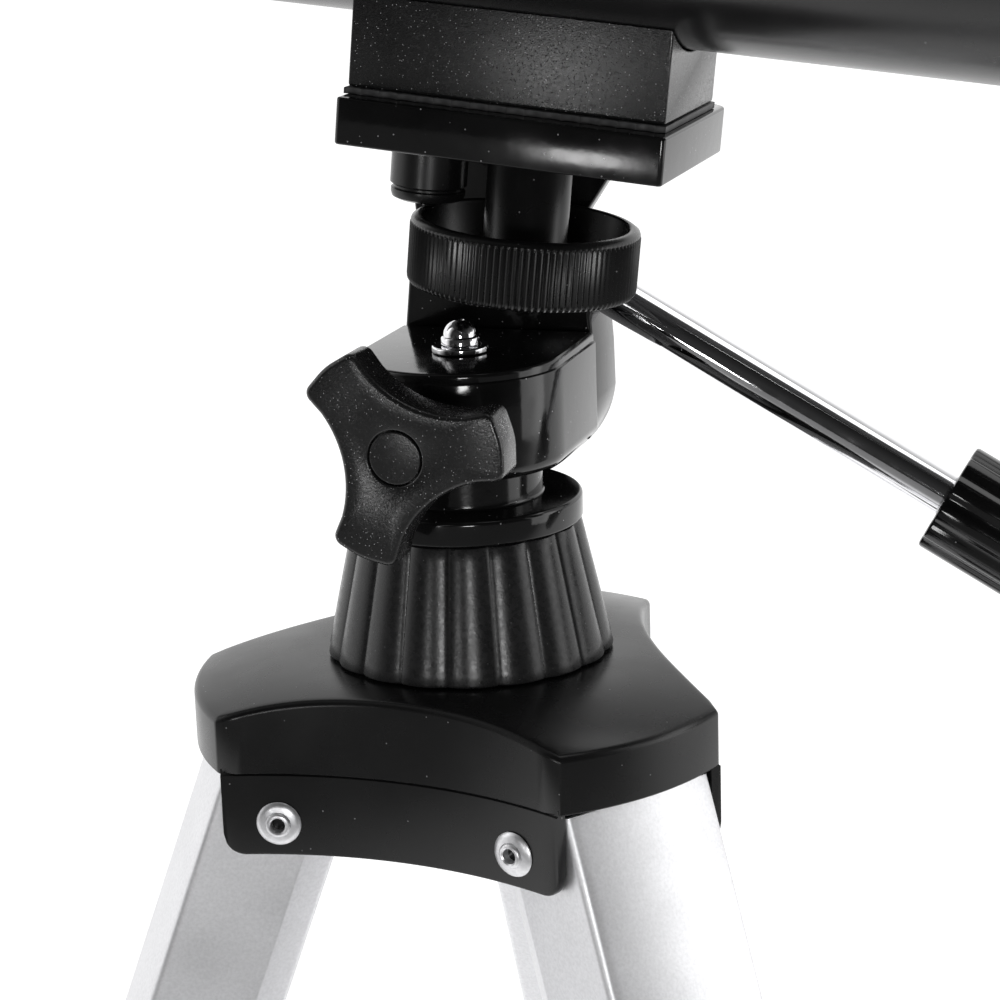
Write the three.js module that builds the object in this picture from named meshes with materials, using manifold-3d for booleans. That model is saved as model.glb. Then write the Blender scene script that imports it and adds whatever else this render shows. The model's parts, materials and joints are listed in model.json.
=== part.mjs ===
// A small refracting telescope on a pan and tilt head and a three-legged aluminium tripod.
// Millimetres, +Z up, +X from the objective towards the eyepiece.
// The origin is on the floor at the middle of the object's box.
// The tripod and head are drawn from the shoulder: its rim is z = 0 and the pan axis is x = y = 0.
import * as THREE from 'three';
import { mergeVertices } from 'three/addons/utils/BufferGeometryUtils.js';
import Module from 'manifold-3d';

const wasm = await Module();
wasm.setup();

// ---------------------------------------------------------------- driving dimensions

const GAP = 0.3;                  // clearance between neighbouring pieces
const ROUND = 24;                 // sides of a large turned piece
const SMALL = 12;                 // sides of a small turned piece
const UP = 57;                    // tilt axis above the shoulder rim

const ARM_NAMES = ['a', 'b', 'c'];
const FIRST_ARM = 206;            // degrees from +X
const ARM_REACH = 60;
const WAIST = 39.2;               // pan axis to the middle of a hollow side
const HOLLOW_RADIUS = 96.3;
const BAND = 12.2;                // height of the shoulder's outer band
const CROWN = 5.2;                // rise of the shoulder's top towards its middle
const CROWN_RADIUS = 30;
const SKIRT_BOTTOM = -30.3;
const CHANNEL = 19.4;             // half width of the slot a leg turns in
const SEAT = 23.2;                // rivet head seat, from the arm's centre line

const COLUMN_RADIUS = 12;
const COLUMN_WALL = 2;
const COLUMN_BOTTOM = -37;
const PLUG_BOTTOM = -40;
const GUIDE_RADIUS = 14.5;        // the bush that the column slides in
const GUIDE_BORE = 12.4;
const GUIDE_BOTTOM = -34;
const SPIGOT_RADIUS = 20;
const SPIGOT_TOP = 26;
const SLEEVE_RADIUS = 18.5;
const SLEEVE_BOTTOM = -34;
const GUIDE_TOP = -6;

const COLLAR = { bottom: 5.6, top: 33.8, low: 30.8, high: 24.7, flutes: 18, flute: 0.7 };

const LEG_PIVOT = { out: 44.3, down: 23 };
const SPLAY = 20.3;               // degrees from vertical, legs open
const LEG = { half: 19, front: 13.5, bulge: 1.9, side: -8.1, back: -15, backHalf: 15.9 };
const LEG_WALL = 1.6;
const SLIDE_STEP = 2;             // how much smaller the lower leg's section is, all round
const UPPER_TOP = 5;
const UPPER_BOTTOM = -480;
const LOWER_TOP = -380;
const LOWER_BOTTOM = -900;
const FLOOR_AT = -912;            // where the floor meets the leg's centre line
const CLAMP = { top: -455, bottom: -496, wall: 3 };
const LEVER = { out: 21.7, at: -490, top: -456, half: 12, thick: 5.6 };
const RIVET = { pin: 2.4, head: 4.7, thick: 1.2 };

const CLIP = { at: -262, out: -25, plate: 2 };
const HUB = { pivot: 23, height: 16, radius: 18.4 };
const ARM_SLOPE = 50;             // brace arms below horizontal, legs open
const BRACE_BAR = { near: 3.4, thick: 4, radius: 4.5 };

const FLANGE = { radius: 24.9, bottom: 34.1, top: 39.5 };
const NECK = { radius: 16.5, top: 46.2 };
const PAN = { radius: 22.5, back: 24.6, bottom: 46.5, top: 69.8 };
const PAN_BOLT = { shank: 3.2, head: 4, bottom: 31, rim: 74, top: 76.9 };
const WASHER = { radius: 6, top: 71.3 };
const TRUNNION = { radius: 7, inner: 8 };

const REST_TILT = 6.35;           // degrees, objective end up
const KNOB = { front: -41, back: -32, tip: 22.8, lobe: 6.6, neck: 11.4, turn: 9, stud: 4, cap: 5.4 };

const TABLE = { x: 9.55, y: 4.87, length: 67.3, width: 50, top: 66, thick: 8.55 };
const CHEEK = { near: 25.2, step: 26.5, plateNear: 29.2, plateFar: 34, top: 36, drumFar: 42, drum: 22.5 };
const CUP = { x: 9.3, y: 4.8, radius: 24, bottom: 27.2, top: 41.4, wall: 2.6, floor: 31, hub: 8.8 };
const CAMERA_STUD = { radius: 3.1, top: 72 };
const BARREL = { x: -12.65, radius: 8.05, bottom: 43 };
const PAD = { length: 66.9, width: 39, thick: 0.95 };
const BLOCK = { x: 8.66, y: 4.6, length: 66.3, width: 37.8, bottom: 67.55, top: 87.4 };

const HANDLE = { drop: 23.05, x: 98.8, z: -11.5, y: 33.9, rod: 4.65, grip: 12.3, gripLength: 95 };
const ROD_INSIDE = 98;            // rod length from the grip's end back into the cheek
const ROD_IN_GRIP = 28;

const TUBE = { radius: 34, wall: 1.6, front: -300, back: 230, y: 4.6, z: 114.5 };
const CELL = { radius: 36, front: -322, seat: -308, bore: 30.5, lip: 29 };
const LENS_RADIUS = 30.2;
const SHIELD = { radius: 38.5, bore: 36.4, front: -402, back: -304 };
const FOCUSER = { flange: 35.5, nose: 21, noseFront: 262, back: 300, bore: 15.3 };
const DRAWTUBE = { radius: 15, bore: 13, front: 205, back: 333, collar: 18, collarLength: 16 };
const PINION = { x: 279, z: -23, shaft: 3, radius: 5 };
const FOCUS_KNOB = { radius: 15, near: 19, far: 32 };
const DIAGONAL = { nose: 12.2, front: 316, body: 335, half: 16, axis: 354 };
const EYEPIECE = { barrel: 12.2, bottom: 20, shoulder: 40.6, top: 66, radius: 15.5 };
const FINDER = { x: 190, z: 57, tube: 11, bell: 16, front: 100, back: 235, ring: 17 };

// ---------------------------------------------------------------- geometry helpers

const degrees = (angle) => THREE.MathUtils.degToRad(angle);

function toSolid(geometry) {
  const bare = geometry.clone();
  bare.deleteAttribute('normal');
  bare.deleteAttribute('uv');
  const merged = mergeVertices(bare, 1e-4);
  const triVerts = new Uint32Array(merged.index.array);
  const vertProperties = merged.attributes.position.array;
  return new wasm.Manifold(new wasm.Mesh({ numProp: 3, vertProperties, triVerts }));
}

function toGeometry(solid) {
  const mesh = solid.getMesh();
  const indexed = new THREE.BufferGeometry();
  indexed.setAttribute('position', new THREE.BufferAttribute(new Float32Array(mesh.vertProperties), 3));
  indexed.setIndex(new THREE.BufferAttribute(new Uint32Array(mesh.triVerts), 1));
  const flat = indexed.toNonIndexed();
  flat.computeVertexNormals();
  return flat;
}

const join = (first, ...others) =>
  toGeometry(others.reduce((solid, other) => solid.add(toSolid(other)), toSolid(first)));

const cut = (first, ...others) =>
  toGeometry(others.reduce((solid, other) => solid.subtract(toSolid(other)), toSolid(first)));

const common = (first, second) => toGeometry(toSolid(first).intersect(toSolid(second)));

// A solid turned about Z from [radius, z] points, listed anticlockwise with the radius to the right.
function turned(points, sides = ROUND) {
  const profile = points.map(([radius, z]) => new THREE.Vector2(radius, z));
  return new THREE.LatheGeometry(profile, sides).rotateX(Math.PI / 2);
}

const disc = (radius, bottom, top, sides = ROUND) =>
  turned([[0, bottom], [radius, bottom], [radius, top], [0, top]], sides);

const ring = (inner, outer, bottom, top, sides = ROUND) =>
  turned([[inner, bottom], [outer, bottom], [outer, top], [inner, top], [inner, bottom]], sides);

// Lay a piece made along Z down along +X or +Y.
const alongX = (geometry) => geometry.rotateY(Math.PI / 2);
const alongY = (geometry) => geometry.rotateX(-Math.PI / 2);

// A straight prism between two heights, with optional holes.
function prism(points, bottom, top, holes = []) {
  const shape = new THREE.Shape(points);
  shape.holes = holes.map((hole) => new THREE.Path(hole));
  const settings = { depth: top - bottom, bevelEnabled: false };
  return new THREE.ExtrudeGeometry(shape, settings).translate(0, 0, bottom);
}

// A prism drawn in the XZ plane that runs from y = near to y = far.
function sidePrism(points, near, far) {
  const mirrored = points.map((point) => new THREE.Vector2(point.x, -point.y)).reverse();
  return prism(mirrored, near, far).rotateX(-Math.PI / 2);
}

function block(x, y, z) {
  const box = new THREE.BoxGeometry(x[1] - x[0], y[1] - y[0], z[1] - z[0]);
  return box.translate((x[0] + x[1]) / 2, (y[0] + y[1]) / 2, (z[0] + z[1]) / 2);
}

function arc(x, y, radius, from, to, steps) {
  const points = [];
  for (let i = 0; i <= steps; i += 1) {
    const angle = degrees(from + ((to - from) * i) / steps);
    points.push(new THREE.Vector2(x + radius * Math.cos(angle), y + radius * Math.sin(angle)));
  }
  return points;
}

const corners = (...pairs) => pairs.map(([x, y]) => new THREE.Vector2(x, y));

// ---------------------------------------------------------------- finishes

const FINISHES = {
  castGloss: { color: 0x0c0c0d, roughness: 0.16, metalness: 0.1 },
  moulded: { color: 0x161617, roughness: 0.45, metalness: 0 },
  grained: { color: 0x1a1a1b, roughness: 0.6, metalness: 0 },
  tubePaint: { color: 0x101012, roughness: 0.3, metalness: 0.1 },
  blastedAluminium: { color: 0xb9babc, roughness: 0.42, metalness: 1 },
  chrome: { color: 0xd9dadb, roughness: 0.06, metalness: 1 },
  rivetSteel: { color: 0xc4c5c6, roughness: 0.25, metalness: 1 },
  rubber: { color: 0x111111, roughness: 0.85, metalness: 0 },
  glass: { color: 0xdfe8ea, roughness: 0.02, metalness: 0 },
  mirror: { color: 0xe8eaec, roughness: 0.02, metalness: 1 },
};

function piece(name, geometry, finish, parent) {
  const mesh = new THREE.Mesh(geometry, new THREE.MeshStandardMaterial(FINISHES[finish]));
  mesh.name = name;
  parent.add(mesh);
  return mesh;
}

function groupAt(parent, x, y, z) {
  const group = new THREE.Group();
  group.position.set(x, y, z);
  parent.add(group);
  return group;
}

// ---------------------------------------------------------------- tripod shoulder

// Three arms with round ends and hollow sides. Inset draws it smaller by that much all round.
function shoulderOutline(inset) {
  const reach = ARM_REACH - inset;
  const hollow = HOLLOW_RADIUS + inset;
  const centre = WAIST + HOLLOW_RADIUS;
  const half = Math.acos((centre ** 2 + reach ** 2 - hollow ** 2) / (2 * centre * reach));
  const corner = THREE.MathUtils.radToDeg(half);
  const sweep = THREE.MathUtils.radToDeg(Math.asin((reach * Math.sin(half)) / hollow));
  const points = [];
  ARM_NAMES.forEach((name, index) => {
    const side = FIRST_ARM + 60 + 120 * index;
    const x = centre * Math.cos(degrees(side));
    const y = centre * Math.sin(degrees(side));
    points.push(...arc(0, 0, reach, side - 120 + corner, side - corner, 6).slice(0, -1));
    points.push(...arc(x, y, hollow, side + 180 + sweep, side + 180 - sweep, 10).slice(0, -1));
  });
  return points;
}

function crownSolid() {
  const profile = [[0, -BAND], [ARM_REACH + 5, -BAND], [ARM_REACH + 5, -CROWN]];
  for (let radius = ARM_REACH + 4; radius >= CROWN_RADIUS; radius -= 8) {
    const fall = (radius - CROWN_RADIUS) / (ARM_REACH - CROWN_RADIUS);
    profile.push([radius, CROWN * (1 - fall ** 2)]);
  }
  profile.push([SPIGOT_RADIUS, CROWN], [SPIGOT_RADIUS, SPIGOT_TOP], [0, SPIGOT_TOP]);
  return turned(profile);
}

function shoulder() {
  const body = common(prism(shoulderOutline(0), -BAND, SPIGOT_TOP), crownSolid());
  const skirtHeight = [SKIRT_BOTTOM, -BAND + 1];
  const sockets = [];
  let skirts = cut(prism(shoulderOutline(0.7), ...skirtHeight), prism(shoulderOutline(4.6), -40, 0));
  for (let index = 0; index < 3; index += 1) {
    const turn = degrees(FIRST_ARM + 120 * index);
    skirts = cut(skirts, block([0, 80], [-CHANNEL, CHANNEL], [-40, -BAND]).rotateZ(turn));
    const place = (geometry) => geometry.translate(LEG_PIVOT.out, 0, -LEG_PIVOT.down).rotateZ(turn);
    sockets.push(place(alongY(disc(RIVET.pin + GAP, -30, 30, SMALL))));
    sockets.push(place(alongY(disc(RIVET.head + 0.5, SEAT, 30, SMALL))));
    sockets.push(place(alongY(disc(RIVET.head + 0.5, -30, -SEAT, SMALL))));
  }
  const sleeve = disc(SLEEVE_RADIUS, SLEEVE_BOTTOM, -BAND + 1);
  const bores = [disc(GUIDE_BORE, -50, 50), disc(GUIDE_RADIUS + GAP, -50, GUIDE_TOP)];
  return cut(join(body, skirts, sleeve), ...bores, ...sockets);
}

// ---------------------------------------------------------------- column and its collar

// The fluted cone: rounded lobes with a sharp valley between each two.
function collar() {
  const stepsPerFlute = 3;
  const steps = COLLAR.flutes * stepsPerFlute;
  const outline = (radius) => {
    const points = [];
    for (let i = 0; i < steps; i += 1) {
      const phase = Math.abs(Math.sin((Math.PI * i) / stepsPerFlute));
      const angle = (2 * Math.PI * i) / steps;
      const reach = radius - COLLAR.flute * (1 - phase);
      points.push([reach * Math.cos(angle), reach * Math.sin(angle)]);
    }
    return points;
  };
  const low = outline(COLLAR.low);
  const high = outline(COLLAR.high);
  const positions = [];
  const add = (...vertices) => vertices.forEach((vertex) => positions.push(...vertex));
  for (let i = 0; i < steps; i += 1) {
    const next = (i + 1) % steps;
    const [a, b] = [[...low[i], COLLAR.bottom], [...low[next], COLLAR.bottom]];
    const [c, d] = [[...high[next], COLLAR.top], [...high[i], COLLAR.top]];
    add(a, b, c, a, c, d);
    add([0, 0, COLLAR.bottom], b, a, [0, 0, COLLAR.top], d, c);
  }
  const cone = new THREE.BufferGeometry();
  cone.setAttribute('position', new THREE.Float32BufferAttribute(positions, 3));
  return cut(cone, disc(SPIGOT_RADIUS + GAP, 0, SPIGOT_TOP + 1), disc(GUIDE_BORE, 0, 50));
}

const headBase = () => turned([
  [0, 18], [9.6, 18], [9.6, FLANGE.bottom], [FLANGE.radius - 0.5, FLANGE.bottom],
  [FLANGE.radius, FLANGE.bottom + 0.5], [FLANGE.radius, FLANGE.top - 0.8], [FLANGE.radius - 0.8, FLANGE.top],
  [NECK.radius, FLANGE.top], [NECK.radius, NECK.top], [PAN_BOLT.shank + GAP, NECK.top],
  [PAN_BOLT.shank + GAP, PAN_BOLT.bottom - 1], [0, PAN_BOLT.bottom - 1],
]);

// ---------------------------------------------------------------- legs, in a frame on the leg's pivot

// The leg's section: slightly domed front, flat sides, chamfers to a flat back. Grow draws it larger.
function legSection(grow) {
  const half = LEG.half + grow;
  const points = corners([LEG.side, -half], [LEG.front + grow, -half]);
  for (let step = -2; step <= 2; step += 1) {
    const across = step / 3;
    points.push(new THREE.Vector2(LEG.front + grow + LEG.bulge * (1 - across ** 2), across * half));
  }
  points.push(...corners(
    [LEG.front + grow, half], [LEG.side, half],
    [LEG.back - grow, LEG.backHalf + grow * 0.6], [LEG.back - grow, -LEG.backHalf - grow * 0.6],
  ));
  return points;
}

const legTube = (grow, wall, bottom, top) =>
  prism(legSection(grow), bottom, top, [legSection(grow - wall)]);

function legClamp() {
  const pin = alongY(disc(2.1, -20, 20, SMALL)).translate(LEVER.out, 0, LEVER.at);
  const ear = (near) => {
    const plate = block([LEG.front, LEVER.out + 3.4], [near, near + 3], [CLAMP.bottom, LEVER.at + 4]);
    return cut(plate, pin);
  };
  const collarSolid = cut(
    prism(legSection(CLAMP.wall), CLAMP.bottom, CLAMP.top),
    prism(legSection(GAP), UPPER_BOTTOM - GAP, CLAMP.top + 1),
    prism(legSection(-SLIDE_STEP + GAP), CLAMP.bottom - 1, UPPER_BOTTOM),
  );
  return join(collarSolid, ear(LEVER.half + GAP), ear(-LEVER.half - GAP - 3));
}

function clampLever() {
  const near = LEVER.out - LEVER.thick / 2;
  const far = LEVER.out + LEVER.thick / 2;
  const side = [
    ...arc(LEVER.out, LEVER.at, LEVER.thick / 2, 180, 360, 8),
    new THREE.Vector2(far, LEVER.top - 4),
    new THREE.Vector2(far + 2.5, LEVER.top),
    new THREE.Vector2(near, LEVER.top),
  ];
  const trunnion = alongY(disc(1.8, -LEVER.half - 2.6, LEVER.half + 2.6, SMALL));
  return join(sidePrism(side, -LEVER.half, LEVER.half), trunnion.translate(LEVER.out, 0, LEVER.at));
}

function foot() {
  const body = prism(legSection(-SLIDE_STEP + 3), FLOOR_AT - 30, LOWER_BOTTOM + 28);
  const pocket = prism(legSection(-SLIDE_STEP + GAP), LOWER_BOTTOM - GAP, 0);
  const belowFloor = block([-80, 80], [-80, 80], [-80, 0]).rotateY(degrees(SPLAY)).translate(0, 0, FLOOR_AT);
  return cut(body, pocket, belowFloor);
}

const legRivet = () => alongY(turned([
  [0, -SEAT - GAP - RIVET.thick], [3.1, -SEAT - GAP - RIVET.thick], [RIVET.head, -SEAT - GAP - 0.4],
  [RIVET.head, -SEAT - GAP], [RIVET.pin, -SEAT - GAP], [RIVET.pin, SEAT + GAP], [RIVET.head, SEAT + GAP],
  [RIVET.head, SEAT + GAP + 0.4], [3.1, SEAT + GAP + RIVET.thick], [0, SEAT + GAP + RIVET.thick],
], SMALL));

function braceClip() {
  const plateBack = LEG.back - GAP;
  const plate = block([plateBack - CLIP.plate, plateBack], [-12, 12], [CLIP.at - 15, CLIP.at + 15]);
  const tab = block([CLIP.out - 4.5, plateBack - 1], [-3, 3], [CLIP.at - 6, CLIP.at + 6]);
  return join(plate, tab);
}

function addLeg(shoulderFrame, letter, azimuth) {
  const arm = groupAt(shoulderFrame, 0, 0, 0);
  arm.rotation.z = degrees(azimuth);
  const pivot = groupAt(arm, LEG_PIVOT.out, 0, -LEG_PIVOT.down);
  piece(`leg_rivet_${letter}`, legRivet(), 'rivetSteel', pivot);
  const leg = groupAt(pivot, 0, 0, 0);
  leg.rotation.y = -degrees(SPLAY);
  const pinHole = alongY(disc(RIVET.pin + GAP, -30, 30, SMALL));
  const upper = cut(legTube(0, LEG_WALL, UPPER_BOTTOM, UPPER_TOP), pinHole);
  piece(`leg_upper_${letter}`, upper, 'blastedAluminium', leg);
  const lower = legTube(-SLIDE_STEP, LEG_WALL, LOWER_BOTTOM, LOWER_TOP);
  piece(`leg_lower_${letter}`, lower, 'blastedAluminium', leg);
  piece(`leg_clamp_${letter}`, legClamp(), 'moulded', leg);
  piece(`clamp_lever_${letter}`, clampLever(), 'moulded', leg);
  piece(`brace_clip_${letter}`, braceClip(), 'moulded', leg);
  piece(`foot_${letter}`, foot(), 'rubber', leg);
}

// ---------------------------------------------------------------- leg brace

// Where a leg's brace pivot sits, outwards from the pan axis and up from the shoulder rim, legs open.
function clipPoint() {
  const splay = degrees(SPLAY);
  return {
    out: LEG_PIVOT.out - CLIP.at * Math.sin(splay) + CLIP.out * Math.cos(splay),
    up: -LEG_PIVOT.down + CLIP.at * Math.cos(splay) + CLIP.out * Math.sin(splay),
  };
}

const braceLength = (clipPoint().out - HUB.pivot) / Math.cos(degrees(ARM_SLOPE));
const hubHeight = clipPoint().up + braceLength * Math.sin(degrees(ARM_SLOPE));

function braceHub() {
  const ears = [0, 120, 240].map((turn) => {
    const lug = block([16, HUB.pivot + 4], [-3, 3], [-5, 5]);
    const pin = alongY(disc(2.4, 0, BRACE_BAR.near + BRACE_BAR.thick + 1, SMALL)).translate(HUB.pivot, 0, 0);
    return join(lug, pin).rotateZ(degrees(FIRST_ARM + turn));
  });
  return join(disc(HUB.radius, -HUB.height / 2, HUB.height / 2), ...ears);
}

// A flat bar with round ends, drawn from its hub pivot along +X.
function braceBar() {
  const outline = [
    ...arc(0, 0, BRACE_BAR.radius, 90, 270, 8),
    ...arc(braceLength, 0, BRACE_BAR.radius, -90, 90, 8),
  ];
  const bar = sidePrism(outline, BRACE_BAR.near, BRACE_BAR.near + BRACE_BAR.thick);
  const head = alongY(disc(3.4, 0, 1.2, SMALL)).translate(braceLength, BRACE_BAR.near + BRACE_BAR.thick, 0);
  return cut(join(bar, head), alongY(disc(2.7, 0, 10, SMALL)));
}

function addBrace(shoulderFrame) {
  const hub = groupAt(shoulderFrame, 0, 0, hubHeight);
  piece('brace_hub', braceHub(), 'moulded', hub);
  ARM_NAMES.forEach((letter, index) => {
    const arm = groupAt(hub, 0, 0, 0);
    arm.rotation.z = degrees(FIRST_ARM + 120 * index);
    const pivot = groupAt(arm, HUB.pivot, 0, 0);
    pivot.rotation.y = degrees(ARM_SLOPE);
    piece(`brace_arm_${letter}`, braceBar(), 'moulded', pivot);
  });
}

// ---------------------------------------------------------------- pan body

function panBody() {
  const plan = [
    ...arc(0, 0, PAN.radius, 180, 360, 20),
    ...corners([PAN.radius, PAN.back], [-PAN.radius, PAN.back]),
  ];
  const small = plan.map((point) => point.clone().multiplyScalar((PAN.radius - 2) / PAN.radius));
  const lowEdge = prism(small, PAN.bottom, PAN.bottom + 2);
  return cut(
    join(prism(plan, PAN.bottom + 2, PAN.top), lowEdge),
    disc(PAN_BOLT.shank + GAP, 0, 100, SMALL),
    alongY(disc(KNOB.stud + GAP, -60, 0, SMALL)).translate(0, 0, UP),
    alongY(disc(TRUNNION.radius + GAP, TRUNNION.inner - 1, 60, ROUND)).translate(0, 0, UP),
  );
}

const panBolt = () => turned([
  [0, PAN_BOLT.bottom], [PAN_BOLT.shank, PAN_BOLT.bottom], [PAN_BOLT.shank, WASHER.top + GAP],
  [PAN_BOLT.head, WASHER.top + GAP], [PAN_BOLT.head, PAN_BOLT.rim], [3.4, PAN_BOLT.rim + 1.4],
  [2, PAN_BOLT.top - 0.5], [0, PAN_BOLT.top],
], SMALL);

// The three-lobed knob, drawn facing the front with its stud running back to the pan bolt.
function lockKnob() {
  const outline = [];
  for (let lobe = 0; lobe < 3; lobe += 1) {
    const angle = KNOB.turn + 120 * lobe;
    const reach = KNOB.tip - 2;
    const across = KNOB.lobe;
    const at = (out, side) => {
      const [c, s] = [Math.cos(degrees(angle)), Math.sin(degrees(angle))];
      return new THREE.Vector2(out * c - side * s, out * s + side * c);
    };
    outline.push(at(reach - 6, -across + 0.4), at(reach - 1, -across), at(reach + 1.2, -across + 2.2));
    outline.push(at(reach + 2, 0), at(reach + 1.2, across - 2.2));
    outline.push(at(reach - 1, across), at(reach - 6, across - 0.4));
    for (const swing of [44, 60, 76]) {
      const turn = degrees(angle + swing);
      outline.push(new THREE.Vector2(KNOB.neck * Math.cos(turn), KNOB.neck * Math.sin(turn)));
    }
  }
  const lobes = sidePrism(outline, KNOB.front, KNOB.back);
  const boss = alongY(disc(8, KNOB.back - 1, -PAN.radius - 1.2, SMALL));
  const stud = alongY(disc(KNOB.stud, KNOB.back, -PAN_BOLT.shank - 1, SMALL));
  const recess = alongY(disc(KNOB.cap + GAP, KNOB.front - 1, KNOB.front + 2, SMALL));
  return cut(join(lobes, boss, stud), recess);
}

// ---------------------------------------------------------------- tilting head, in a frame on the tilt axis

// Table, rear cheek, tilt drum and trunnion are one casting.
function tiltTable() {
  const underside = TABLE.top - TABLE.thick;
  const halfLength = TABLE.length / 2;
  const halfWidth = TABLE.width / 2;
  const top = block(
    [TABLE.x - halfLength, TABLE.x + halfLength],
    [TABLE.y - halfWidth, TABLE.y + halfWidth],
    [underside, TABLE.top],
  );
  const drum = sidePrism([
    ...arc(0, 0, CHEEK.drum, 180, 360, 14),
    ...corners([20.5, 10], [19, 18], [19, CHEEK.step], [-23, CHEEK.step], [-23, 8]),
  ], CHEEK.near, CHEEK.drumFar);
  const rodBoss = sidePrism(
    corners(
      [-23, 20], [19, 20], [19, CHEEK.top - 3], [16, CHEEK.top],
      [-20, CHEEK.top], [-23, CHEEK.top - 3],
    ),
    CHEEK.plateNear, CHEEK.drumFar,
  );
  const plateTop = TABLE.top - 2;
  const plate = sidePrism(
    corners(
      [-23, 30], [14, 30], [13.5, 36.5], [15.9, 41.2],
      [24.4, 57.2], [24.4, plateTop], [-28, plateTop], [-28, 57.2],
    ),
    CHEEK.plateNear, CHEEK.plateFar,
  );
  const trunnion = alongY(disc(TRUNNION.radius, TRUNNION.inner, CHEEK.near + 1, SMALL));
  const rodHole = handleFrame(alongX(disc(HANDLE.rod + GAP, -ROD_INSIDE - 1, 0, SMALL)));
  const screwHole = disc(CAMERA_STUD.radius + GAP, 40, 80, SMALL).translate(CUP.x, CUP.y, 0);
  return cut(join(top, plate, rodBoss, drum, trunnion), rodHole, screwHole);
}

// Moves a piece drawn along +X from the grip's near end into the handle's place.
const handleFrame = (geometry) =>
  geometry.rotateY(degrees(HANDLE.drop)).translate(HANDLE.x, HANDLE.y, HANDLE.z);

const cameraScrewKnob = () => turned([
  [0, CUP.bottom], [CUP.radius - 0.8, CUP.bottom],
  [CUP.radius, CUP.bottom + 0.8], [CUP.radius, CUP.top - 0.8],
  [CUP.radius - 0.8, CUP.top], [CUP.radius - CUP.wall, CUP.top], [CUP.radius - CUP.wall, CUP.floor],
  [CUP.hub, CUP.floor], [CUP.hub, TABLE.top - TABLE.thick - GAP],
  [CAMERA_STUD.radius, TABLE.top - TABLE.thick - GAP],
  [CAMERA_STUD.radius, CAMERA_STUD.top], [0, CAMERA_STUD.top],
]).translate(CUP.x, CUP.y, 0);

const locatorBarrel = () => turned([
  [0, BARREL.bottom], [6.6, BARREL.bottom], [7.8, BARREL.bottom + 1], [7.8, BARREL.bottom + 2.4],
  [7.2, BARREL.bottom + 2.8], [BARREL.radius, BARREL.bottom + 3.4],
  [BARREL.radius, TABLE.top - TABLE.thick - GAP], [0, TABLE.top - TABLE.thick - GAP],
], SMALL).translate(BARREL.x, TABLE.y, 0);

function slab(x, y, length, width, bottom, top) {
  return block([x - length / 2, x + length / 2], [y - width / 2, y + width / 2], [bottom, top]);
}

function platformPad() {
  const bottom = TABLE.top + GAP;
  const pad = slab(BLOCK.x, BLOCK.y, PAD.length, PAD.width, bottom, bottom + PAD.thick);
  return cut(pad, disc(CAMERA_STUD.radius + GAP, 50, 80, SMALL).translate(CUP.x, CUP.y, 0));
}

function saddleBlock() {
  const body = slab(BLOCK.x, BLOCK.y, BLOCK.length, BLOCK.width, BLOCK.bottom, BLOCK.top);
  const saddle = alongX(disc(TUBE.radius + GAP, -100, 100)).translate(0, TUBE.y, TUBE.z);
  const screwHole = disc(CAMERA_STUD.radius + GAP, 50, CAMERA_STUD.top + 1, SMALL).translate(CUP.x, CUP.y, 0);
  return cut(body, saddle, screwHole);
}

function handleGrip() {
  const length = HANDLE.gripLength;
  const grip = turned([
    [HANDLE.rod + GAP, 0], [HANDLE.grip - 0.8, 0], [HANDLE.grip, 0.8], [HANDLE.grip, length * 0.9],
    [HANDLE.grip - 2, length * 0.97], [HANDLE.grip - 6, length], [0, length],
    [0, ROD_IN_GRIP + 1], [HANDLE.rod + GAP, ROD_IN_GRIP + 1], [HANDLE.rod + GAP, 0],
  ]);
  return handleFrame(alongX(grip));
}

// ---------------------------------------------------------------- telescope, in a frame on the tube's axis

const lensCell = () => alongX(turned([
  [CELL.lip, CELL.seat], [CELL.lip, -284], [TUBE.radius - TUBE.wall - GAP, -284],
  [TUBE.radius - TUBE.wall - GAP, TUBE.front - GAP],
  [CELL.radius, TUBE.front - GAP], [CELL.radius, CELL.front],
  [CELL.bore, CELL.front], [CELL.bore, CELL.seat], [CELL.lip, CELL.seat],
].reverse()));

const objectiveLens = () => alongX(turned([
  [0, CELL.seat - 11], [12, CELL.seat - 10.6], [22, CELL.seat - 9.8], [LENS_RADIUS, CELL.seat - 8.6],
  [LENS_RADIUS, CELL.seat - GAP], [16, CELL.seat - GAP], [0, CELL.seat - GAP - 0.4],
]));

function focuserHousing() {
  const spigot = TUBE.radius - TUBE.wall - GAP;
  const start = TUBE.back - 14;
  const flangeAt = TUBE.back + GAP;
  const shell = alongX(turned([
    [28, start], [spigot, start], [spigot, flangeAt],
    [FOCUSER.flange, flangeAt], [FOCUSER.flange, flangeAt + 9],
    [33, flangeAt + 11], [FOCUSER.nose, FOCUSER.noseFront], [FOCUSER.nose, FOCUSER.back],
    [FOCUSER.bore, FOCUSER.back], [FOCUSER.bore, flangeAt + 10], [28, flangeAt + 4], [28, start],
  ]));
  const pinionBox = block([PINION.x - 11, PINION.x + 11], [-13, 13], [PINION.z - 8, -16]);
  const pinionRoom = alongY(disc(PINION.radius + 0.6, -5.5, 5.5, SMALL)).translate(PINION.x, 0, PINION.z);
  const shaftBore = alongY(disc(PINION.shaft + GAP, -30, 30, SMALL)).translate(PINION.x, 0, PINION.z);
  const rackSlot = block([start - 1, FOCUSER.back + 1], [-3.4, 3.4], [-17.7, 0]);
  const gearbox = cut(pinionBox, alongX(disc(FOCUSER.bore, 0, 400)));
  return cut(join(shell, gearbox), pinionRoom, shaftBore, rackSlot);
}

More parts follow.
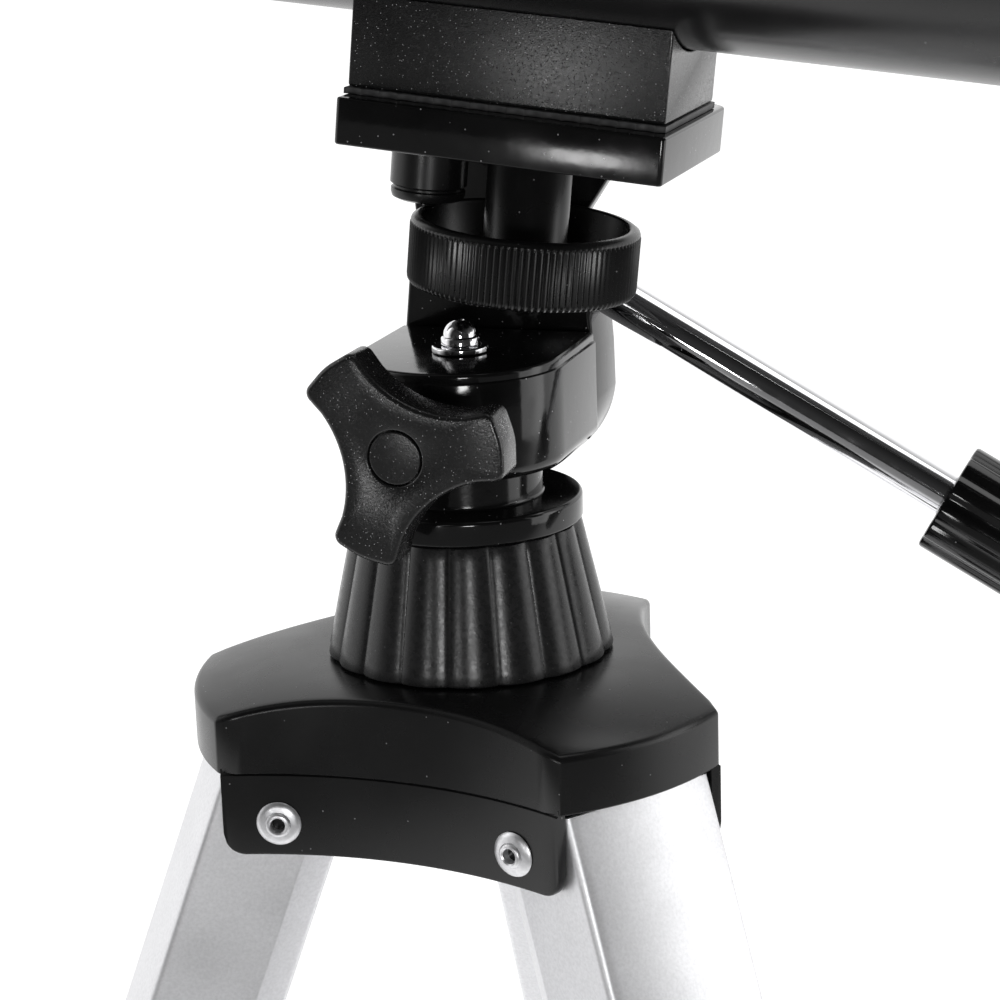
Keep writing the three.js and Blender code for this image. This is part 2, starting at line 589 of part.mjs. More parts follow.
function drawtube() {
  const collarFront = DRAWTUBE.back - DRAWTUBE.collarLength;
  const tube = alongX(turned([
    [DRAWTUBE.bore, DRAWTUBE.front], [DRAWTUBE.radius, DRAWTUBE.front], [DRAWTUBE.radius, collarFront],
    [DRAWTUBE.collar, collarFront + 1], [DRAWTUBE.collar, DRAWTUBE.back], [DRAWTUBE.bore, DRAWTUBE.back],
    [DRAWTUBE.bore, DRAWTUBE.front],
  ]));
  const rack = block([DRAWTUBE.front + 2, collarFront - 1], [-3, 3], [-17.3, -14]);
  return join(tube, rack);
}

const focusShaft = () => alongY(turned([
  [0, -FOCUS_KNOB.far + 3], [PINION.shaft, -FOCUS_KNOB.far + 3], [PINION.shaft, -5], [PINION.radius, -5],
  [PINION.radius, 5], [PINION.shaft, 5], [PINION.shaft, FOCUS_KNOB.far - 3], [0, FOCUS_KNOB.far - 3],
], SMALL)).translate(PINION.x, 0, PINION.z);

function focusKnob(side) {
  const outer = FOCUS_KNOB.far;
  const knob = turned([
    [PINION.shaft + GAP, FOCUS_KNOB.near], [FOCUS_KNOB.radius - 1, FOCUS_KNOB.near],
    [FOCUS_KNOB.radius, FOCUS_KNOB.near + 1], [FOCUS_KNOB.radius, outer - 1], [FOCUS_KNOB.radius - 1, outer],
    [0, outer], [0, outer - 2.5], [PINION.shaft + GAP, outer - 2.5], [PINION.shaft + GAP, FOCUS_KNOB.near],
  ]);
  const turn = side < 0 ? Math.PI : 0;
  return alongY(knob).rotateZ(turn).translate(PINION.x, 0, PINION.z);
}

// The mirror's plate, at 45 degrees behind the crossing of the two bores.
const mirrorPlate = (width, height, thick) =>
  block([0, thick], [-width / 2, width / 2], [-height / 2, height / 2])
    .rotateY(degrees(-45)).translate(DIAGONAL.axis + 5, 0, -5);

function diagonalBody() {
  const { axis, half, body, front } = DIAGONAL;
  const side = corners([body, -half], [axis - 2, -half], [axis + half, 2], [axis + half, half], [body, half]);
  const nose = alongX(disc(DIAGONAL.nose, front, body + 1, SMALL));
  const holder = disc(15, half - 1, 38, SMALL).translate(axis, 0, 0);
  return cut(
    join(sidePrism(side, -half, half), nose, holder),
    alongX(disc(10.5, front - 1, axis, SMALL)),
    disc(EYEPIECE.barrel + GAP, 0, 50, SMALL).translate(axis, 0, 0),
    mirrorPlate(26, 26, 2.4).translate(-0.5, 0, 0.5),
  );
}

const eyepiece = () => turned([
  [8, EYEPIECE.bottom], [EYEPIECE.barrel, EYEPIECE.bottom], [EYEPIECE.barrel, 38.3], [EYEPIECE.radius, 38.3],
  [EYEPIECE.radius, EYEPIECE.top - 8], [13.5, EYEPIECE.top - 6], [13.5, EYEPIECE.top], [9, EYEPIECE.top],
  [7.3, EYEPIECE.top - 3], [7.3, EYEPIECE.shoulder + 8], [8, EYEPIECE.shoulder + 6], [8, EYEPIECE.bottom],
], SMALL).translate(DIAGONAL.axis, 0, 0);

const eyeLens = () => turned([
  [0, EYEPIECE.top - 9], [7, EYEPIECE.top - 8.4], [7, EYEPIECE.top - 5.4], [0, EYEPIECE.top - 4.4],
], SMALL).translate(DIAGONAL.axis, 0, 0);

function finderBracket() {
  const saddle = alongX(disc(TUBE.radius + GAP, 0, 400));
  const stalk = block([FINDER.x - 8, FINDER.x + 8], [-6, 6], [20, FINDER.z - FINDER.ring + 2]);
  const base = block([FINDER.x - 16, FINDER.x + 16], [-11, 11], [20, TUBE.radius + 4]);
  const flatHoop = ring(FINDER.tube + 2.5, FINDER.ring, FINDER.x - 6, FINDER.x + 6);
  const hoop = alongX(flatHoop).translate(0, 0, FINDER.z);
  return join(cut(join(base, stalk), saddle), hoop);
}

const finderTube = () => alongX(turned([
  [14.6, FINDER.front], [FINDER.bell, FINDER.front], [FINDER.bell, FINDER.front + 22],
  [FINDER.tube, FINDER.front + 34], [FINDER.tube, FINDER.back - 16], [12.5, FINDER.back - 14],
  [12.5, FINDER.back], [8, FINDER.back], [8, FINDER.front + 40], [13.2, FINDER.front + 20],
  [13.2, FINDER.front + 10], [14.6, FINDER.front + 10], [14.6, FINDER.front],
], SMALL)).translate(0, 0, FINDER.z);

const finderLens = () => alongX(turned([
  [0, FINDER.front + 5], [14.3, FINDER.front + 6.6], [14.3, FINDER.front + 9.7], [0, FINDER.front + 9.7],
], SMALL)).translate(0, 0, FINDER.z);

function addTelescope(tube) {
  const shell = [TUBE.radius - TUBE.wall, TUBE.radius, TUBE.front, TUBE.back];
  piece('main_tube', alongX(ring(...shell)), 'tubePaint', tube);
  piece('lens_cell', lensCell(), 'moulded', tube);
  piece('objective_lens', objectiveLens(), 'glass', tube);
  const lensRing = ring(28.4, CELL.bore - GAP, CELL.front + 0.5, CELL.front + 2.6);
  piece('lens_ring', alongX(lensRing), 'moulded', tube);
  const shield = ring(SHIELD.bore, SHIELD.radius, SHIELD.front, SHIELD.back);
  piece('dew_shield', alongX(shield), 'tubePaint', tube);
  piece('focuser_housing', focuserHousing(), 'moulded', tube);
  piece('drawtube', drawtube(), 'chrome', tube);
  piece('focus_shaft', focusShaft(), 'rivetSteel', tube);
  piece('focus_knob_near', focusKnob(-1), 'moulded', tube);
  piece('focus_knob_far', focusKnob(1), 'moulded', tube);
  piece('diagonal_body', diagonalBody(), 'moulded', tube);
  piece('diagonal_mirror', mirrorPlate(24, 24, 1.6), 'mirror', tube);
  piece('eyepiece', eyepiece(), 'moulded', tube);
  piece('eye_lens', eyeLens(), 'glass', tube);
  piece('finder_bracket', finderBracket(), 'moulded', tube);
  piece('finder_tube', finderTube(), 'tubePaint', tube);
  piece('finder_lens', finderLens(), 'glass', tube);
}

// ---------------------------------------------------------------- assembly

function addHead(shoulderFrame) {
  piece('head_base', headBase(), 'castGloss', shoulderFrame);
  piece('pan_body', panBody(), 'castGloss', shoulderFrame);
  const washer = ring(PAN_BOLT.shank + GAP, WASHER.radius, PAN.top + GAP, WASHER.top);
  piece('pan_washer', washer, 'chrome', shoulderFrame);
  piece('pan_bolt', panBolt(), 'chrome', shoulderFrame);
  const knobFrame = groupAt(shoulderFrame, 0, 0, UP);
  piece('lock_knob', lockKnob(), 'grained', knobFrame);
  const cap = alongY(disc(KNOB.cap, KNOB.front + 0.1, KNOB.front + 2 - GAP, SMALL));
  piece('lock_knob_cap', cap, 'grained', knobFrame);

  const tilt = groupAt(shoulderFrame, 0, 0, UP);
  tilt.rotation.y = degrees(REST_TILT);
  piece('tilt_table', tiltTable(), 'castGloss', tilt);
  piece('locator_barrel', locatorBarrel(), 'moulded', tilt);
  piece('camera_screw_knob', cameraScrewKnob(), 'moulded', tilt);
  piece('platform_pad', platformPad(), 'rubber', tilt);
  piece('saddle_block', saddleBlock(), 'grained', tilt);
  const rod = disc(HANDLE.rod, -ROD_INSIDE, ROD_IN_GRIP, SMALL);
  piece('handle_rod', handleFrame(alongX(rod)), 'chrome', tilt);
  piece('handle_grip', handleGrip(), 'moulded', tilt);
  addTelescope(groupAt(tilt, 0, TUBE.y, TUBE.z));
}

function addColumn(shoulderFrame) {
  piece('shoulder', shoulder(), 'moulded', shoulderFrame);
  piece('column_collar', collar(), 'grained', shoulderFrame);
  const bush = ring(GUIDE_BORE, GUIDE_RADIUS, GUIDE_BOTTOM, GUIDE_TOP - GAP);
  piece('column_guide', bush, 'blastedAluminium', shoulderFrame);
  const inner = COLUMN_RADIUS - COLUMN_WALL;
  const column = ring(inner, COLUMN_RADIUS, COLUMN_BOTTOM, FLANGE.bottom - GAP);
  piece('centre_column', column, 'blastedAluminium', shoulderFrame);
  const cap = disc(COLUMN_RADIUS, PLUG_BOTTOM, COLUMN_BOTTOM - GAP);
  piece('column_end_cap', cap, 'rubber', shoulderFrame);
}

const telescope = new THREE.Group();
const assembly = groupAt(telescope, 0, 0, 0);
addColumn(assembly);
addHead(assembly);
addBrace(assembly);
ARM_NAMES.forEach((letter, index) => addLeg(assembly, letter, FIRST_ARM + 120 * index));

// The origin is on the floor, under the middle of the object's box.
telescope.updateMatrixWorld(true);
const box = new THREE.Box3().setFromObject(telescope, true);
const middle = box.getCenter(new THREE.Vector3());
assembly.position.set(-middle.x, -middle.y, -box.min.z);

export default telescope;
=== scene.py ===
"""A small refracting telescope on its pan head and tripod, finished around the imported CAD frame.

Every shape is drawn in millimetres in the frame of the thing it belongs to (shoulder, tilting head,
tube, leg or brace) and is then put in place, in metres, by that frame's matrix.
"""

import json
import math

import bmesh
import bpy
from mathutils import Matrix, Vector

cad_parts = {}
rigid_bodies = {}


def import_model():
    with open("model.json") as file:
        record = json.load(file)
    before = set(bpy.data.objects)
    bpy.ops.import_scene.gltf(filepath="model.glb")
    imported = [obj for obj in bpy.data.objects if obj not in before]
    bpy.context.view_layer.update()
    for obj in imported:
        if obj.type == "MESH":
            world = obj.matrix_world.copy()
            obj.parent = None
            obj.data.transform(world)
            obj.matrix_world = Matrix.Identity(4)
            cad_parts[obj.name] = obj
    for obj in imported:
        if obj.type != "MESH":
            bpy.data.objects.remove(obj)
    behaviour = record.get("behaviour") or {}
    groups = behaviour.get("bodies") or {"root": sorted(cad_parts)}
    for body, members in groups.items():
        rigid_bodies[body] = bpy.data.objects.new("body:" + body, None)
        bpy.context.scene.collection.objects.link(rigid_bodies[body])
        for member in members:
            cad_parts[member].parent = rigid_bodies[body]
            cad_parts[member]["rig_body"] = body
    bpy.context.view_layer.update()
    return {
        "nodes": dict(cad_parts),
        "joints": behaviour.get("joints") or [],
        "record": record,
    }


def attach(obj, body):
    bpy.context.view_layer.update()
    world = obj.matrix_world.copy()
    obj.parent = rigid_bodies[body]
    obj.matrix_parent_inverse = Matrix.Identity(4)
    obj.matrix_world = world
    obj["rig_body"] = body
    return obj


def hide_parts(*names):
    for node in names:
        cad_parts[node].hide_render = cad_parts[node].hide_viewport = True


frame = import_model()

# ---------------------------------------------------------------- driving dimensions, in millimetres

MM = 0.001
LETTERS = ("a", "b", "c")
UP = 57.0                      # tilt axis above the shoulder rim
ARM_REACH = 60.0
FIRST_ARM = 206.0              # degrees from +X
WAIST = 39.2                   # pan axis to the middle of a hollow side
HOLLOW_RADIUS = 96.3
HOLLOW_CENTRE = WAIST + HOLLOW_RADIUS
CORNER = 2.6                   # upright corners of the shoulder, in plan
RIM = 1.25                     # rounding of the shoulder's top edge
BAND = 12.2
CROWN = 5.2
CROWN_RADIUS = 30.0
SKIRT = {"bottom": -30.3, "set_in": 0.08, "wall": 4.4, "corner": 4.6, "slot": 19.4}
SPIGOT = {"radius": 20.0, "top": 26.0}
SLEEVE = {"radius": 18.5, "bottom": -34.0}
GUIDE = {"radius": 14.5, "bore": 12.4, "top": -6.3, "bottom": -34.0}
COLUMN = {"radius": 12.0, "wall": 2.0, "top": 33.8, "bottom": -37.0, "plug": -40.0}
COLLAR = {"bottom": 5.6, "top": 33.8, "low": 30.8, "high": 24.7, "flutes": 18, "flute": 0.9}

LEG_PIVOT_OUT = 44.3
SPLAY = 20.3                   # degrees
LEG = {"half": 19.0, "front": 13.5, "bulge": 1.9, "side": -8.1, "back": -15.0, "back_half": 15.9}
LEG_WALL = 1.6
SLIDE_STEP = 2.0
GAP = 0.3                      # between neighbours that touch
UPPER = {"top": 5.0, "bottom": -480.0}
LOWER = {"top": -380.0, "bottom": -900.0}
FLOOR_AT = -912.0
CLAMP = {"top": -455.0, "bottom": -496.0, "wall": 3.0}
LEVER = {"out": 21.7, "at": -490.0, "top": -456.0, "half": 12.0, "thick": 5.6}
CLIP = {"at": -262.0, "out": -25.0, "plate": 2.0}
HUB = {"pivot": 23.0, "height": 16.0, "radius": 18.4}
BRACE_BAR = {"near": 3.4, "thick": 4.0, "radius": 4.5}
ARM_SLOPE = 50.0

FLANGE = {"radius": 24.9, "bottom": 34.1, "top": 39.5}
NECK = {"radius": 16.5, "top": 46.2}
PAN = {"radius": 22.5, "back": 24.6, "bottom": 46.5, "top": 69.8}
KNOB = {"front": -41.0, "back": -32.0, "tip": 22.8, "half_tip": 7.1, "neck": 11.4, "turn": 9.0, "cap": 5.4}

TABLE = {"x": 9.55, "y": 4.87, "length": 68.3, "width": 50.8, "top": 66.1, "thick": 9.5, "under": 57.45}
CHEEK = {"near": 25.2, "step": 26.5, "far": 42.0, "top": 36.0, "drum": 21.8}
WEB = {"near": 29.2, "far": 34.0}
CUP = {"x": 9.3, "y": 4.8, "radius": 24.0, "bottom": 27.2, "top": 41.4}
CUP_INSIDE = {"wall": 2.6, "floor": 31.0, "hub": 8.8}
BARREL = {"x": -12.65, "radius": 8.05, "bottom": 43.0}
PAD = {"length": 67.0, "width": 40.2, "thick": 1.3}
BLOCK = {"x": 8.66, "y": 4.6, "length": 66.3, "width": 37.8, "bottom": 67.55}
HANDLE = {"drop": 23.05, "x": 98.8, "z": -11.5, "y": 33.9, "rod": 4.65, "grip": 12.3, "length": 95.0}
ROD = {"inside": 98.0, "in_grip": 28.0}

TUBE = {"radius": 34.0, "wall": 1.6, "front": -300.0, "back": 230.0, "y": 4.6, "z": 114.5}
CELL = {"radius": 36.0, "front": -322.0, "seat": -308.0, "bore": 30.5}
SHIELD = {"radius": 38.5, "bore": 36.4, "front": -402.0, "back": -304.0}
FOCUSER = {"flange": 35.5, "nose": 21.0, "nose_front": 262.0, "back": 300.0, "bore": 15.3}
DRAWTUBE = {"radius": 15.0, "bore": 13.0, "front": 205.0, "back": 333.0}
DRAWTUBE_COLLAR = {"radius": 18.0, "length": 16.0, "screw_at": 325.0}
RACK = {"half": 3.0, "bottom": -16.6, "top": -14.0, "pitch": 2.0}
PINION = {"x": 279.0, "z": -23.0, "shaft": 3.0}
FOCUS_KNOB = {"radius": 15.0, "near": 19.0, "far": 32.0}
DIAGONAL = {"nose": 12.2, "front": 316.0, "body": 335.0, "half": 16.0, "axis": 354.0}
EYEPIECE = {"barrel": 12.2, "bottom": 20.0, "top": 66.0, "radius": 15.5}
FINDER = {"x": 190.0, "z": 57.0, "tube": 11.0, "bell": 16.0, "front": 100.0, "back": 235.0, "ring": 17.0}

# ---------------------------------------------------------------- where things are, from the frame

JOINTS = {joint["name"]: joint for joint in frame["joints"]}
SLOT_OF = {part["node"]: part["material_slot"] for part in frame["record"]["subparts"]}
AXIS_X, AXIS_Y, AXIS_Z = Vector((1, 0, 0)), Vector((0, 1, 0)), Vector((0, 0, 1))


def axis_of(joint):
    return Vector(JOINTS[joint]["axis"]).normalized()


def pivot_of(joint):
    return Vector(JOINTS[joint]["pos_m"])


def place(origin, across, along, up):
    """The matrix from a thing's own millimetres to the frame's metres."""
    turn = Matrix((across, along, up)).transposed().to_4x4()
    return Matrix.Translation(origin) @ turn @ Matrix.Scale(MM, 4)


def leg_place(letter):
    fold, slide = axis_of(f"leg_fold_{letter}"), axis_of(f"lower_leg_slide_{letter}")
    return place(pivot_of(f"leg_fold_{letter}"), fold.cross(slide), fold, slide)


def arm_place(letter):
    fold = axis_of(f"leg_fold_{letter}")
    return place(pivot_of(f"leg_fold_{letter}"), fold.cross(AXIS_Z), fold, AXIS_Z)


def brace_place(letter):
    fold = axis_of(f"leg_fold_{letter}")
    up = Matrix.Rotation(math.radians(ARM_SLOPE), 3, fold) @ AXIS_Z
    return place(pivot_of(f"brace_arm_turn_{letter}"), fold.cross(up), fold, up)


SHOULDER = place(pivot_of("pan"), AXIS_X, AXIS_Y, AXIS_Z)
KNOB_AT = SHOULDER @ Matrix.Translation((0, 0, UP))
TILT = place(pivot_of("tilt"), axis_of("focus_slide"), axis_of("tilt"), axis_of("eyepiece_slide"))
ALONG_TUBE = TILT @ Matrix.Translation((0, TUBE["y"], TUBE["z"]))
IN_HANDLE = (
    TILT
    @ Matrix.Translation((HANDLE["x"], HANDLE["y"], HANDLE["z"]))
    @ Matrix.Rotation(math.radians(HANDLE["drop"]), 4, "Y")
)

# Turns a shape drawn in XY and raised along Z: sideways is drawn in XZ and runs along Y,
# lengthways is drawn in YZ and runs along X.
SIDEWAYS = Matrix(((1, 0, 0, 0), (0, 0, 1, 0), (0, 1, 0, 0), (0, 0, 0, 1)))
LENGTHWAYS = Matrix(((0, 0, 1, 0), (1, 0, 0, 0), (0, 1, 0, 0), (0, 0, 0, 1)))

# ---------------------------------------------------------------- outlines


def arc(x, y, radius, start, end, steps):
    """Points on an arc, angles in degrees."""
    angles = [math.radians(start + (end - start) * i / steps) for i in range(steps + 1)]
    return [(x + radius * math.cos(angle), y + radius * math.sin(angle)) for angle in angles]


def rounded(points, radius, steps=5, closed=True):
    """The corners of an outline rounded, to one radius or to one for each corner."""
    made = []
    count = len(points)
    for i, point in enumerate(points):
        wanted = radius[i] if isinstance(radius, (list, tuple)) else radius
        if wanted <= 0 or (not closed and i in (0, count - 1)):
            made.append(tuple(point))
            continue
        corner = Vector(point)
        back = Vector(points[i - 1]) - corner
        on = Vector(points[(i + 1) % count]) - corner
        half = back.angle(on) / 2
        if half > math.radians(88):
            made.append(tuple(point))
            continue
        reach = min(wanted / math.tan(half), 0.48 * back.length, 0.48 * on.length)
        centre = corner + (back.normalized() + on.normalized()).normalized() * reach / math.cos(half)
        spoke = corner + back.normalized() * reach - centre
        sweep = spoke.angle_signed(corner + on.normalized() * reach - centre)
        for step in range(steps + 1):
            turn = Matrix.Rotation(-sweep * step / steps, 2)
            made.append(tuple(centre + turn @ spoke))
    return made


def inset(outline, by):
    """An anticlockwise outline drawn smaller by that much all round."""
    made = []
    for i, point in enumerate(outline):
        here = Vector(point)
        before = (here - Vector(outline[i - 1])).normalized()
        after = (Vector(outline[(i + 1) % len(outline)]) - here).normalized()
        normal = Vector((-before.y - after.y, before.x + after.x))
        normal /= max(1 + before.dot(after), 0.3)
        made.append(tuple(here + normal * by))
    return made


def rectangle(x, y):
    return [(x[0], y[0]), (x[1], y[0]), (x[1], y[1]), (x[0], y[1])]


def around(x, y, length, width):
    """The spans of a rectangle from its middle and size."""
    return (x - length / 2, x + length / 2), (y - width / 2, y + width / 2)


# ---------------------------------------------------------------- shells: (points, faces)


def merged(*shells):
    points, faces = [], []
    for more_points, more_faces in shells:
        first = len(points)
        points.extend(more_points)
        faces.extend([[first + i for i in face] for face in more_faces])
    return points, faces


def moved(shell, matrix):
    return [tuple(matrix @ Vector(point)) for point in shell[0]], shell[1]


def stacked(rings, closed=False):
    """A shell through rings of equally many points. A closed one joins its last ring to its first."""
    count = len(rings[0])
    points = [tuple(point) for ring in rings for point in ring]
    faces = []
    for k in range(len(rings) if closed else len(rings) - 1):
        low, high = k * count, ((k + 1) % len(rings)) * count
        for i in range(count):
            j = (i + 1) % count
            faces.append([low + i, low + j, high + j, high + i])
    if not closed:
        faces.append(list(range(count)))
        faces.append(list(range(len(points) - count, len(points))))
    return points, faces


def plate(outline, bottom, top, edge=0.6, steps=4):
    """A flat piece with rounded edges."""
    turns = [math.pi / 2 * step / steps for step in range(steps + 1)]
    low = [(edge * (1 - math.sin(t)), bottom + edge * (1 - math.cos(t))) for t in turns]
    high = [(by, bottom + top - z) for by, z in reversed(low)]
    return stacked([[(x, y, z) for x, y in inset(outline, by)] for by, z in low + high])


def turned(profile, sides=96, ripple=None):
    """A shell turned about Z. A profile that starts and ends on the axis is solid, any other is a ring."""
    points, rings, faces = [], [], []
    for radius, height in profile:
        if radius < 1e-6:
            rings.append([len(points)])
            points.append((0, 0, height))
            continue
        rings.append(list(range(len(points), len(points) + sides)))
        for i in range(sides):
            angle = 2 * math.pi * i / sides
            reach = ripple(angle, radius, height) if ripple else radius
            points.append((reach * math.cos(angle), reach * math.sin(angle), height))
    pairs = list(zip(rings, rings[1:]))
    if profile[0][0] > 1e-6:
        pairs.append((rings[-1], rings[0]))
    for low, high in pairs:
        for i in range(sides):
            j = (i + 1) % sides
            loop = [low[i % len(low)], low[j % len(low)], high[j % len(high)], high[i % len(high)]]
            corners = list(dict.fromkeys(loop))
            if len(corners) > 2:
                faces.append(corners)
    return points, faces


def knurl(ribs, sink, wave, beyond, low=-math.inf, high=math.inf):
    """A ripple for turned(): ribs on what lies beyond a radius and between two heights."""

    def ripple(angle, radius, height):
        if radius < beyond or not low < height < high:
            return radius
        return radius - sink + wave * math.cos(ribs * angle)

    return ripple


def disc(radius, bottom, top, edge=0.4, sides=64):
    profile = [(0, bottom), (radius, bottom), (radius, top), (0, top)]
    return turned(rounded(profile, edge, closed=False), sides)


def hoop(inner, outer, bottom, top, edge=0.3, sides=96):
    profile = [(inner, bottom), (outer, bottom), (outer, top), (inner, top)]
    return turned(rounded(profile, edge), sides)


def bar(x, y, z, edge=0.5):
    """A rectangular block with rounded edges."""
    return plate(rounded(rectangle(x, y), max(edge, 0.3)), z[0], z[1], edge)


def side_plate(outline, near, far, edge=0.6):
    """A plate drawn in XZ that runs along Y."""
    return moved(plate(outline, near, far, edge), SIDEWAYS)


def pin(radius, near, far, x=0.0, z=0.0, edge=0.3, sides=40):
    """A round pin along Y."""
    return moved(disc(radius, near, far, edge, sides), Matrix.Translation((x, 0, z)) @ SIDEWAYS)


# ---------------------------------------------------------------- materials


def start_look(name, colour, roughness, metallic=0.0, **sockets):
    """A material with one principled shader, and the texture coordinates that its nodes use."""
    material = bpy.data.materials.new(name)
    material.use_nodes = True
    nodes = material.node_tree.nodes
    shader = nodes["Principled BSDF"]
    shader.inputs["Base Color"].default_value = (*colour, 1)
    shader.inputs["Roughness"].default_value = roughness
    shader.inputs["Metallic"].default_value = metallic
    for socket, value in sockets.items():
        shader.inputs[socket.replace("_", " ")].default_value = value
    where = nodes.new("ShaderNodeTexCoord")
    return {"material": material, "nodes": nodes, "links": material.node_tree.links,
            "shader": shader, "where": where.outputs["Object"], "bump": None}


def noise(look, size, detail=3.0, stretch=(1, 1, 1)):
    """Soft noise whose features are about size millimetres across."""
    mapping = look["nodes"].new("ShaderNodeMapping")
    mapping.inputs["Scale"].default_value = stretch
    look["links"].new(look["where"], mapping.inputs["Vector"])
    texture = look["nodes"].new("ShaderNodeTexNoise")
    texture.inputs["Scale"].default_value = 1 / (size * MM)
    texture.inputs["Detail"].default_value = detail
    look["links"].new(mapping.outputs["Vector"], texture.inputs["Vector"])
    return texture.outputs["Fac"]


def specks(look, spacing, size):
    """1 in small scattered dots, 0 elsewhere."""
    texture = look["nodes"].new("ShaderNodeTexVoronoi")
    texture.inputs["Scale"].default_value = 1 / (spacing * MM)
    look["links"].new(look["where"], texture.inputs["Vector"])
    return ranged(look, texture.outputs["Distance"], size * 0.6, size, 1.0, 0.0)


def ranged(look, value, low, high, to_low, to_high):
    node = look["nodes"].new("ShaderNodeMapRange")
    node.inputs["From Min"].default_value = low
    node.inputs["From Max"].default_value = high
    node.inputs["To Min"].default_value = to_low
    node.inputs["To Max"].default_value = to_high
    look["links"].new(value, node.inputs["Value"])
    return node.outputs["Result"]


def set_roughness(look, value, low, high):
    look["links"].new(ranged(look, value, 0.3, 0.7, low, high), look["shader"].inputs["Roughness"])


def set_colour(look, value, colour_a, colour_b, low=0.3, high=0.7):
    """Blends two colours by a value between low and high."""
    share = ranged(look, value, low, high, 0, 1)
    mix = look["nodes"].new("ShaderNodeMix")
    mix.data_type = "RGBA"
    mix.inputs["A"].default_value = (*colour_a, 1)
    mix.inputs["B"].default_value = (*colour_b, 1)
    look["links"].new(share, mix.inputs["Factor"])
    look["links"].new(mix.outputs["Result"], look["shader"].inputs["Base Color"])
    return mix


def overlay_specks(look, mix, dots, colour):
    """Lays small dots of another colour over a colour blend."""
    over = look["nodes"].new("ShaderNodeMix")
    over.data_type = "RGBA"
    over.inputs["B"].default_value = (*colour, 1)
    look["links"].new(mix.outputs["Result"], over.inputs["A"])
    look["links"].new(dots, over.inputs["Factor"])
    look["links"].new(over.outputs["Result"], look["shader"].inputs["Base Color"])


def add_bump(look, height, depth, strength=1.0):
    """Raises the surface by up to depth millimetres, on top of any bump already there."""
    node = look["nodes"].new("ShaderNodeBump")
    node.inputs["Strength"].default_value = strength
    node.inputs["Distance"].default_value = depth * MM
    look["links"].new(height, node.inputs["Height"])
    if look["bump"]:
        look["links"].new(look["bump"], node.inputs["Normal"])
    look["bump"] = node.outputs["Normal"]
    look["links"].new(look["bump"], look["shader"].inputs["Normal"])


def grey(value):
    return (value, value, value * 1.02)


def cast_gloss():
    """Glossy black enamel on a die casting: orange peel, and dust caught in the paint."""
    look = start_look("cast_gloss", grey(0.006), 0.12, Specular_IOR_Level=0.42)
    add_bump(look, noise(look, 2.6, 2), 0.03, 0.5)
    add_bump(look, noise(look, 0.35, 2), 0.004, 0.4)
    set_roughness(look, noise(look, 9), 0.07, 0.17)
    mix = set_colour(look, noise(look, 14), grey(0.005), grey(0.008))
    overlay_specks(look, mix, specks(look, 2.3, 0.08), grey(0.35))
    return look["material"]


def moulded_black():
    """Satin black plastic with a fine moulded grain."""
    look = start_look("moulded_black", grey(0.007), 0.34, Specular_IOR_Level=0.34)
    add_bump(look, noise(look, 0.5, 3), 0.012, 0.45)
    add_bump(look, noise(look, 30, 2), 0.25, 0.25)
    set_roughness(look, noise(look, 12, 4), 0.23, 0.31)
    mix = set_colour(look, noise(look, 18, 4), grey(0.006), grey(0.009))
    overlay_specks(look, mix, specks(look, 4.2, 0.045), grey(0.25))
    return look["material"]


def grained_black():
    """Matt black plastic with a coarse spark-eroded grain whose bumps catch the light, and pale specks
    painted in as glints.
    """
    look = start_look("grained_black", grey(0.010), 0.3, Specular_IOR_Level=0.5)
    add_bump(look, noise(look, 0.32, 2), 0.04, 1.0)
    set_roughness(look, noise(look, 0.6, 2), 0.16, 0.3)
    mix = set_colour(look, noise(look, 7, 4), grey(0.008), grey(0.014))
    # the pale grey(0.7) specks are painted glints: a light colour standing in for grain facets catching the
    # lamps
    overlay_specks(look, mix, specks(look, 0.8, 0.12), grey(0.7))
    return look["material"]


def fluted_black():
    """Satin black plastic, drawn along the flutes."""
    look = start_look("fluted_black", grey(0.016), 0.3, Specular_IOR_Level=0.4)
    add_bump(look, noise(look, 0.4, 3), 0.03, 0.6)
    set_roughness(look, noise(look, 1.2, 3), 0.22, 0.34)
    mix = set_colour(look, noise(look, 5, 4, (1, 1, 0.2)), grey(0.012), grey(0.020))
    overlay_specks(look, mix, specks(look, 1.6, 0.06), grey(0.3))
    return look["material"]


def grip_gloss():
    look = start_look("grip_gloss", grey(0.006), 0.1, Specular_IOR_Level=0.5)
    add_bump(look, noise(look, 6, 2), 0.04, 0.4)
    set_roughness(look, noise(look, 5, 4), 0.07, 0.16)
    mix = set_colour(look, noise(look, 20), grey(0.005), grey(0.009))
    overlay_specks(look, mix, specks(look, 3.1, 0.06), grey(0.3))
    return look["material"]


def tube_paint():
    look = start_look("tube_paint", grey(0.007), 0.26, Specular_IOR_Level=0.5)
    add_bump(look, noise(look, 1.4, 2), 0.01, 0.5)
    set_roughness(look, noise(look, 25, 4), 0.2, 0.3)
    mix = set_colour(look, noise(look, 40), grey(0.006), grey(0.010))
    overlay_specks(look, mix, specks(look, 6.0, 0.04), grey(0.25))
    return look["material"]


def blasted_aluminium():
    """Bead-blasted, clear-anodised aluminium extrusion."""
    look = start_look("blasted_aluminium", grey(0.72), 0.46, 0.85)
    add_bump(look, noise(look, 0.45, 3), 0.03, 0.5)
    set_roughness(look, noise(look, 14, 4), 0.42, 0.5)
    set_colour(look, noise(look, 0.7, 4), grey(0.76), grey(0.86))
    return look["material"]


def chrome():
    """Chrome plate with faint draw lines and handling marks."""
    look = start_look("chrome", grey(0.82), 0.05, 1.0)
    add_bump(look, noise(look, 2.2, 3, (0.12, 1, 1)), 0.006, 0.5)
    set_roughness(look, noise(look, 6, 5), 0.025, 0.11)
    set_colour(look, noise(look, 9, 3), grey(0.76), grey(0.86))
    return look["material"]


